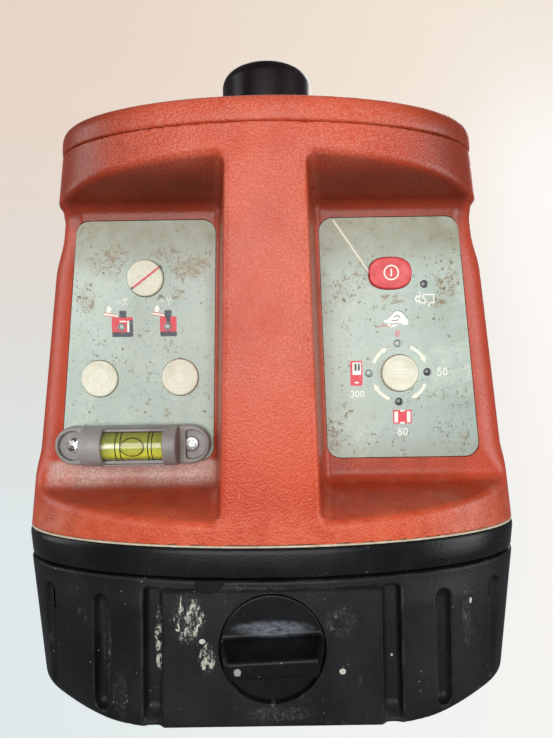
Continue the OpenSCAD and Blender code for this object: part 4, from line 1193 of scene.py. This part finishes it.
def turn_arrow(a0, a1):
    """Clockwise arrow round the speed key, from bearing a0 to a1 in degrees."""
    cx, cz = KEYS["speed_key"]
    r, half, tip_half, tip_turn = 8.75, 0.5, 0.95, 13
    t = np.radians(np.linspace(a0, a1 - math.copysign(tip_turn, a1 - a0), 14))
    tip = [(tip_half, t[-1]), (0, math.radians(a1)), (-tip_half, t[-1])]
    return [[(cx + (r + k) * math.cos(i), cz + (r + k) * math.sin(i))
             for k, i in [(half, i) for i in t] + tip + [(-half, i) for i in t[::-1]]]]


# left foil: round each lamp a small instrument, its beam and a hand
left_ink = ink(*text("+", -46.9, 119.2, 2.2), *text("X", -44.9, 119.3, 2.5),
               *text("+", -33.6, 119.3, 2.2), *text("Y", -31.2, 119.4, 2.5))
for bx0, bx1, hx, side in ((-49.2, -42.6, -45.7, True), (-34.1, -28.9, -31.5, False)):
    left_ink += ink(box(bx0, 109.4, bx1, 114.6, 0.3), material="ink_red")
    left_ink += ink(box(bx0 + 0.1, 108.4, bx1, 109.9, 0.3),
                    box(hx - 1.1, 114.4, hx + 1.1, 116.6, 0.3), material="ink_dark", layer=2)
    if side:
        left_ink += ink(box(bx1 - 1.1, 109.95, bx1, 113.6), material="ink_dark", layer=2)
        left_ink += ink(box(bx1 - 1.8, 109.8, bx1 - 1.1, 113.4), box(hx - 1, 113.0, hx + 1, 113.45),
                        layer=2)
    else:
        left_ink += ink(box(hx - 0.6, 110.5, hx + 0.6, 114.5), material="ink_dark", layer=2)
    beam = [(bx0 - 2.3, 115.9), (bx0 - 2.2, 115.3), (bx0 + 1.9, 114.7), (bx0 + 1.9, 115.2)]
    fingers = bent([(bx0 - 1.6, 116.0), (bx0 - 1.5, 117.3), (bx0 - 0.8, 118.3), (bx0 - 0.4, 117.6),
                    (bx0 + 0.1, 117.2), (bx0 - 0.4, 116.4), (bx0 - 0.3, 115.9)], 4)
    left_ink += ink([beam], [fingers])
    left_ink += ink(pen([(bx0 - 2.3, 116.1), (bx0 + 1.9, 115.3)], 0.22),
                    pen([(bx0 - 2.2, 115.1), (bx0 + 1.0, 114.75)], 0.2),
                    material="ink_red", layer=2)

# right foil: head speeds and the arrows between them, low battery, hand, beam width, instrument
right_ink = ink(*text("50", 54.3, 96.0, 2.35), *text("300", 27.5, 89.4, 2.0, 0.27),
                *text("80", 41.6, 77.4, 2.35))
right_ink += ink(*text("0", 40.4, 108.2, 2.2, 0.34), material="ink_pink")
right_ink += ink(*[turn_arrow(*a) for a in ((67, 21), (-24, -66), (-112, -158), (158, 115))],
                 material="ink_cream")
cell = [(45.8, 118.9), (46.7, 120.2), (47.3, 119.7), (47.5, 120.45), (52.1, 120.45),
        (52.1, 117.5), (47.4, 117.5), (47.2, 118.2), (46.7, 117.7)]
inside = [(46.3, 118.9), (46.8, 119.6), (47.3, 119.2), (47.9, 120.1), (51.75, 120.1),
          (51.75, 117.85), (47.8, 117.85), (47.3, 118.7), (46.8, 118.3)]
right_ink += ink([cell, inside], pen([(47.4, 121.1), (50.7, 116.4)], 0.36))
hand = bent([(36.0, 112.3), (37.3, 112.6), (38.1, 113.3), (38.2, 114.2), (39.4, 115.2),
             (40.8, 115.3), (42.1, 114.6), (43.6, 112.7), (43.6, 111.0), (42.2, 110.9),
             (41.0, 111.4), (39.7, 110.4), (37.8, 110.2), (37.0, 110.8), (38.0, 111.3),
             (36.4, 111.7), (36.0, 112.3)], 4)[:-1]
right_ink += ink([np.array(hand).tolist()])
fingers = [([(39.3, 113.2), (40.3, 113.9), (41.3, 113.1)], 0.24),
           ([(38.6, 112.3), (39.8, 112.2), (40.9, 112.6)], 0.22),
           ([(38.2, 113.6), (39.4, 115.1), (40.9, 115.25), (42.2, 114.6), (43.6, 112.8)], 0.2),
           ([(38.0, 111.2), (39.6, 111.3), (40.8, 111.5)], 0.2)]
right_ink += ink(*[curve(*line) for line in fingers], material="ink_dark", layer=2)
right_ink += ink(curve([(34.2, 110.3), (36.4, 110.9), (37.6, 110.4), (38.8, 110.8)], 0.22),
                 material="ink_red", layer=2)
right_ink += ink(box(25.4, 92.0, 29.2, 99.8, 0.5), material="ink_red")
right_ink += ink(box(26.1, 95.4, 28.8, 99.3), box(26.7, 92.7, 28.0, 93.2), layer=2)
right_ink += ink(box(26.7, 96.7, 27.4, 98.9), box(27.8, 96.7, 28.4, 98.9), material="ink_dark",
                 layer=3)
right_ink += ink(box(38.7, 79.9, 44.5, 84.2, 0.2), material="ink_red")
right_ink += ink(box(39.1, 80.3, 40.2, 83.7), box(43.0, 80.3, 44.1, 83.7),
                 box(40.9, 83.7, 42.3, 84.2), box(40.9, 79.9, 42.3, 80.4), layer=2)
# a crease in the foil
right_ink += ink([[(20.2, 144.0), (20.9, 144.2), (33.6, 125.2), (33.1, 124.8)]], material="crease")

for side, edge, lamp_places, prints in (("left", foil_left, LEFT_LAMPS, left_ink),
                                        ("right", foil_right, RIGHT_LAMPS, right_ink)):
    holes = key_holes(side == "left") + [disc_loop(*p, LAMP_R + LAMP_GAP, 24) for p in lamp_places]
    sheet = (*plate([edge] + holes, FOIL_Y, FOIL_BACK), MAT["foil"], False)
    build("foil_" + side, [sheet] + prints, "housing", (side + "_keypad",))

lamps = []
for p in LEFT_LAMPS + RIGHT_LAMPS:
    dome = [(disc_loop(*p, LAMP_R * math.cos(t), 24), FOIL_Y - 0.02 - 0.38 * math.sin(t))
            for t in np.radians([84, 60, 40, 20, 5, 0])]
    dome.append((disc_loop(*p, LAMP_R, 24), FOIL_BACK))
    lamps.append((*stack(dome), MAT["lamp_clear" if p in CLEAR_LAMPS else "lamp"], True))
build("lamps", lamps, "housing", ("lamp_lenses",))

# ---------------------------------------------------------------- keys
KEY_FACE = -40.6
# radius and y of a round key's skin: shallow dish, rim, side, retaining flange, stem
KEY_SKIN = [(0.5, 0.22), (2.0, 0.2), (3.6, 0.15), (4.6, 0.08), (4.95, 0.0), (5.25, 0.0),
            (5.5, 0.07), (5.66, 0.24), (KEY_R, 0.5), (KEY_R, 3.6), (6.7, 3.65), (6.7, 4.3),
            (2.0, 4.35), (2.0, 5.2)]
# raised marks in the keys' dishes, drawn about each key's centre: a pointing hand, an axis, a sweep
RELIEF = {
    "cancel_key": [curve([(-3.2, 0.4), (-1.6, 1.2), (0.2, 0.9), (1.2, -0.4)], 0.3),
                   curve([(-2.2, -1.0), (0.0, -1.3), (2.4, -2.2)], 0.3),
                   curve([(0.8, 2.8), (1.9, 1.2), (3.0, 0.6)], 0.3)],
    "axis_key_x": [curve([(-2.9, -0.6), (-1.4, 0.5), (0.2, 2.3), (1.1, 2.4), (0.9, 0.9)], 0.35),
                   curve([(0.9, 0.9), (2.2, 0.6), (2.4, -0.8), (0.6, -1.5)], 0.35),
                   pen([(-0.2, -3.0), (0.0, -1.2)], 0.35)],
    "axis_key_y": [ring_loops(0, 0, 1.25, 1.25, 0.4), [disc_loop(0, 0, 0.45, 20)],
                   curve([(-3.2, -0.6), (-2.0, -2.2), (0.0, -2.9), (1.8, -2.5)], 0.3),
                   curve([(-1.0, 2.6), (0.6, 2.9), (2.2, 2.2)], 0.3)],
    "speed_key": [ring_loops(0, 0, 4.3, 1.35, 0.32), pen([(-3.6, 0.1), (3.4, 0.1)], 0.3),
                  curve([(-3.4, 1.9), (-1.2, 3.0), (1.4, 3.0)], 0.28)],
}
# the red stroke printed across the cancel key, from end to end
SLASH = [(-42.4, 123.5), (-33.7, 130.1)]


def key_print(loops, front, back, material):
    """Print or relief on a key, its front and back given from the key's face."""
    return (*plate(loops, KEY_FACE + front, KEY_FACE + back), MAT[material], False)


for name, at in KEYS.items():
    skin = [(disc_loop(*at, r, 64), KEY_FACE + y) for r, y in KEY_SKIN]
    parts = [(*stack(skin), MAT["cream"], True)]
    if name == "cancel_key":
        parts.append(key_print(pen(SLASH, 0.55), -0.03, 0.2, "ink_red"))
        parts += [key_print([disc_loop(*end, 0.42, 16)], -0.06, 0, "ink_dark") for end in SLASH]
    for loops in RELIEF[name]:
        loops = [[(at[0] + x, at[1] + z) for x, z in loop] for loop in loops]
        # the raised marks in a lighter cream: a painted highlight
        parts.append(key_print(loops, 0.02, 0.3, "relief_cream_painted_light"))
    build(name + "_cap", parts, name, (name,))

# how far each loop of the power key's skin stands out from its outline, and its y
POWER_SKIN = [(-3.5, 0.2), (-2.0, 0.12), (-1.0, 0.03), (-0.55, 0.0), (-0.2, 0.12), (0.0, 0.4),
              (0.0, 3.6), (1.0, 3.65), (1.0, 4.3), (-3.0, 4.35), (-3.0, 5.2)]
parts = [(*stack([(power_loop(grow), KEY_FACE + y) for grow, y in POWER_SKIN]), MAT["key_red"],
          True),
         key_print(ring_loops(38.5, 127.2, 2.4, 2.4, 0.42), 0.08, 0.3, "ink_white"),
         key_print(pen([(38.5, 126.0), (38.5, 128.4)], 0.45), 0.08, 0.3, "ink_white")]
build("power_key_cap", parts, "power_key", ("power_key",))


# ---------------------------------------------------------------- bubble vial
TUBE_R, TUBE_HALF = 4.25, 12.5
WINDOW_X, WINDOW_HALF = -41.35, 9.2
LINES_X = (-46.4, -44.9, -36.6, -35.5)


def holder_d(x, y, z):
    """Flat base with round ends, a barrel over the tube, a window in it and two screw pads."""
    u, w = np.abs(x - VIAL[0]), z - VIAL[2]
    stadium = np.hypot(np.maximum(u - 18.0, 0), w) - 6.0
    base = rmax(stadium, np.maximum(-43.3 - y, y + 40.0), 0.9)
    pad = rmax(np.hypot(u - 18.4, w) - 4.5, 16.6 - u, 0.3)
    base = cut(base, np.maximum(pad, y + 41.7), 0.3)
    barrel = rmax(np.hypot(y - VIAL[1], w) - 6.0, u - 14.6, 0.7)
    front = np.maximum(barrel, y + 40.0)
    d = rmin(base, front, 0.5)
    d = bore(d, np.hypot(y - VIAL[1], w) - 4.4, u - 13.0)
    window = common(np.abs(x - WINDOW_X) - WINDOW_HALF, np.abs(w) - 5.4, y + 45.3)
    return cut(d, window, 0.3)


field_piece("vial_body", holder_d, (-67, -51, 68), (-18, -40, 81), 0.36, "housing", MAT["holder"],
            ("vial_holder",))


def tube_ring(x, r, count=48):
    """Circle round the vial's axis."""
    t = np.linspace(0, 2 * math.pi, count + 1)[:-1]
    return np.column_stack([np.full(count, x), VIAL[1] + r * np.cos(t), VIAL[2] + r * np.sin(t)])


def torus(x, width, count=10):
    """A line round the tube."""
    return loft([tube_ring(x + width * math.cos(a), TUBE_R + width * math.sin(a))
                 for a in np.linspace(0, 2 * math.pi, count + 1)[:-1]], closed=True)


tube = [tube_ring(VIAL[0] + dx, TUBE_R if abs(dx) < TUBE_HALF else TUBE_R - 0.35)
        for dx in (-TUBE_HALF, -12.2, -6, 0, 6, 12.2, TUBE_HALF)]
parts = [(*loft(tube, poles=(tube[0].mean(0), tube[-1].mean(0))), MAT["liquid"], True)]
parts += [(*torus(x, 0.16), MAT["line"], True) for x in LINES_X]
build("vial_glass", parts, "housing", ("vial_tube",))


def bubble_d(x, y, z):
    """Oval blister on the side of the tube that faces up in the photo."""
    oval = (np.hypot((x - BUBBLE[0]) / BUBBLE[2], (z - BUBBLE[1]) / BUBBLE[3]) - 1) * BUBBLE[3]
    skin = np.hypot(y - VIAL[1], z - VIAL[2]) - 4.40
    return rmax(oval, np.maximum(skin, y + 46), 0.12)


field_piece("vial_drop", bubble_d, (-45.3, -48.8, 71.8), (-37.3, -46, 78), 0.16, "housing",
            MAT["bubble"], ("vial_bubble",))


def screw_d(x, y, z):
    """Domed screw with a six-lobed socket, on the side of the vial the points are on."""
    x0 = VIAL_SCREWS[0] if np.mean(x) < VIAL[0] else VIAL_SCREWS[1]
    u, w = x - x0, z - VIAL[2]
    r = np.hypot(u, w)
    turn = np.arctan2(w, u)
    head = rmax(r - 2.3, np.maximum(-42.75 - y + 0.06 * r * r, y + 41.2), 0.25)
    head = cut(head, np.maximum(r - 1.2 - 0.22 * np.cos(6 * turn + x0), y + 41.9), 0.06)
    return np.minimum(head, common(r - 1.2, -42 - y, y + 37.5))


for x0, material in zip(VIAL_SCREWS, ("screw_dark", "screw")):
    field_piece("vial_screw_" + ("left" if x0 < VIAL[0] else "right"), screw_d,
                (x0 - 2.4, -43, VIAL[2] - 2.4), (x0 + 2.4, -37.5, VIAL[2] + 2.4), 0.14, "housing",
                MAT[material], ("vial_screws",))


# ---------------------------------------------------------------- camera, light, stage
camera = bpy.data.objects.new("camera", bpy.data.cameras.new("camera"))
bpy.context.scene.collection.objects.link(camera)
camera.data.lens = 27.03
camera.data.sensor_width = 36.0
camera.data.sensor_fit = "AUTO"
camera.data.clip_start = 0.01
camera.location = (0.00225, -0.2137, 0.0995)
pitch, roll = math.radians(-0.62), math.radians(0.85)
camera.rotation_euler = (Matrix.Rotation(math.radians(90) + pitch, 4, "X")
                         @ Matrix.Rotation(-roll, 4, "Z")).to_euler()
bpy.context.scene.camera = camera


def area_light(name, place, size, power, colour=(1, 1, 1), target=(0, 0, 0.1)):
    light = bpy.data.lights.new(name, "AREA")
    light.shape = "RECTANGLE"
    light.size, light.size_y = size
    light.energy = power
    light.color = colour
    obj = bpy.data.objects.new(name, light)
    bpy.context.scene.collection.objects.link(obj)
    obj.location = place
    obj.rotation_euler = (Vector(target) - Vector(place)).to_track_quat("-Z", "Y").to_euler()


area_light("key_light", (-0.10, -1.05, 0.24), (0.95, 0.8), 10.8, (1, 0.985, 0.96))
area_light("side_light", (1.0, -0.55, 0.15), (0.5, 0.9), 7.5, (0.97, 0.99, 1))
area_light("rim_light", (-0.9, -0.2, 0.3), (0.4, 0.8), 3.2)
area_light("back_light", (0.3, 1.0, 0.55), (0.9, 0.9), 9, target=(0, 0.05, 0.1))

WORLD_LIGHT, WORLD_SEEN = 0.17, 0.80
world = bpy.data.worlds.new("world")
bpy.context.scene.world = world
world.use_nodes = True
world.node_tree.nodes["Background"].inputs["Color"].default_value = (0.93, 0.95, 1.0, 1)
# the room behind is pale to the camera and lights the instrument only weakly
path = world.node_tree.nodes.new("ShaderNodeLightPath")
level = world.node_tree.nodes.new("ShaderNodeMapRange")
level.inputs["To Min"].default_value = WORLD_LIGHT
level.inputs["To Max"].default_value = WORLD_SEEN
world.node_tree.links.new(path.outputs["Is Camera Ray"], level.inputs["Value"])
world.node_tree.links.new(level.outputs[0], world.node_tree.nodes["Background"].inputs["Strength"])
bpy.context.scene.view_settings.view_transform = "Standard"


def tabletop():
    """The pale table the instrument lies on, seen only from its upper side and by the camera; its
    colour is painted light and it emits light of its own.
    """
    size, y = 6.0, 0.1272
    mesh = bpy.data.meshes.new("tabletop")
    mesh.from_pydata([(-size, y, -size), (size, y, -size), (size, y, size), (-size, y, size)], [],
                     [(0, 1, 2, 3)])
    obj = bpy.data.objects.new("tabletop", mesh)
    bpy.context.scene.collection.objects.link(obj)
    s = Shader("tabletop_white", roughness=0.5)
    # painted light: warm and darker at the top left, cool at the bottom left, brightest towards the
    # right
    low = s.mix(s.step(s.x, -160, 60), (0.76, 0.83, 0.84), (0.88, 0.90, 0.89))
    high = s.mix(s.step(s.x, -160, 150), (0.77, 0.64, 0.55), (0.84, 0.76, 0.66))
    s.ground(low, high, s.step(s.z, -20, 300))
    s.coat((0.93, 0.91, 0.88), s.step(s.x, 90, 170), s.step(s.z, 330, 200))
    s.coat((0.55, 0.52, 0.48), s.patch(0.62, 0.74, 3, 4, 0.7, 8), 0.12)
    tone = s.base
    s.ground(tone, (0.02, 0.02, 0.02), 0.62)
    # the table emits its painted tone, standing in for the light falling on it
    s.done(s.noise(2, 3), 0.02, emission_color=tone, emission_strength=0.58,
           specular_ior_level=0.1)
    nodes, links = s.tree.nodes, s.tree.links
    clear = nodes.new("ShaderNodeBsdfTransparent")
    join = nodes.new("ShaderNodeMixShader")
    back = s.node("ShaderNodeNewGeometry", out=6)
    seen = s.node("ShaderNodeLightPath", out=0)
    show = s.math("MULTIPLY", seen, s.math("SUBTRACT", 1.0, back))
    links.new(show, join.inputs[0])
    links.new(clear.outputs[0], join.inputs[1])
    links.new(s.bsdf.outputs[0], join.inputs[2])
    links.new(join.outputs[0], nodes["Material Output"].inputs[0])
    mesh.materials.append(s.mat)


tabletop()
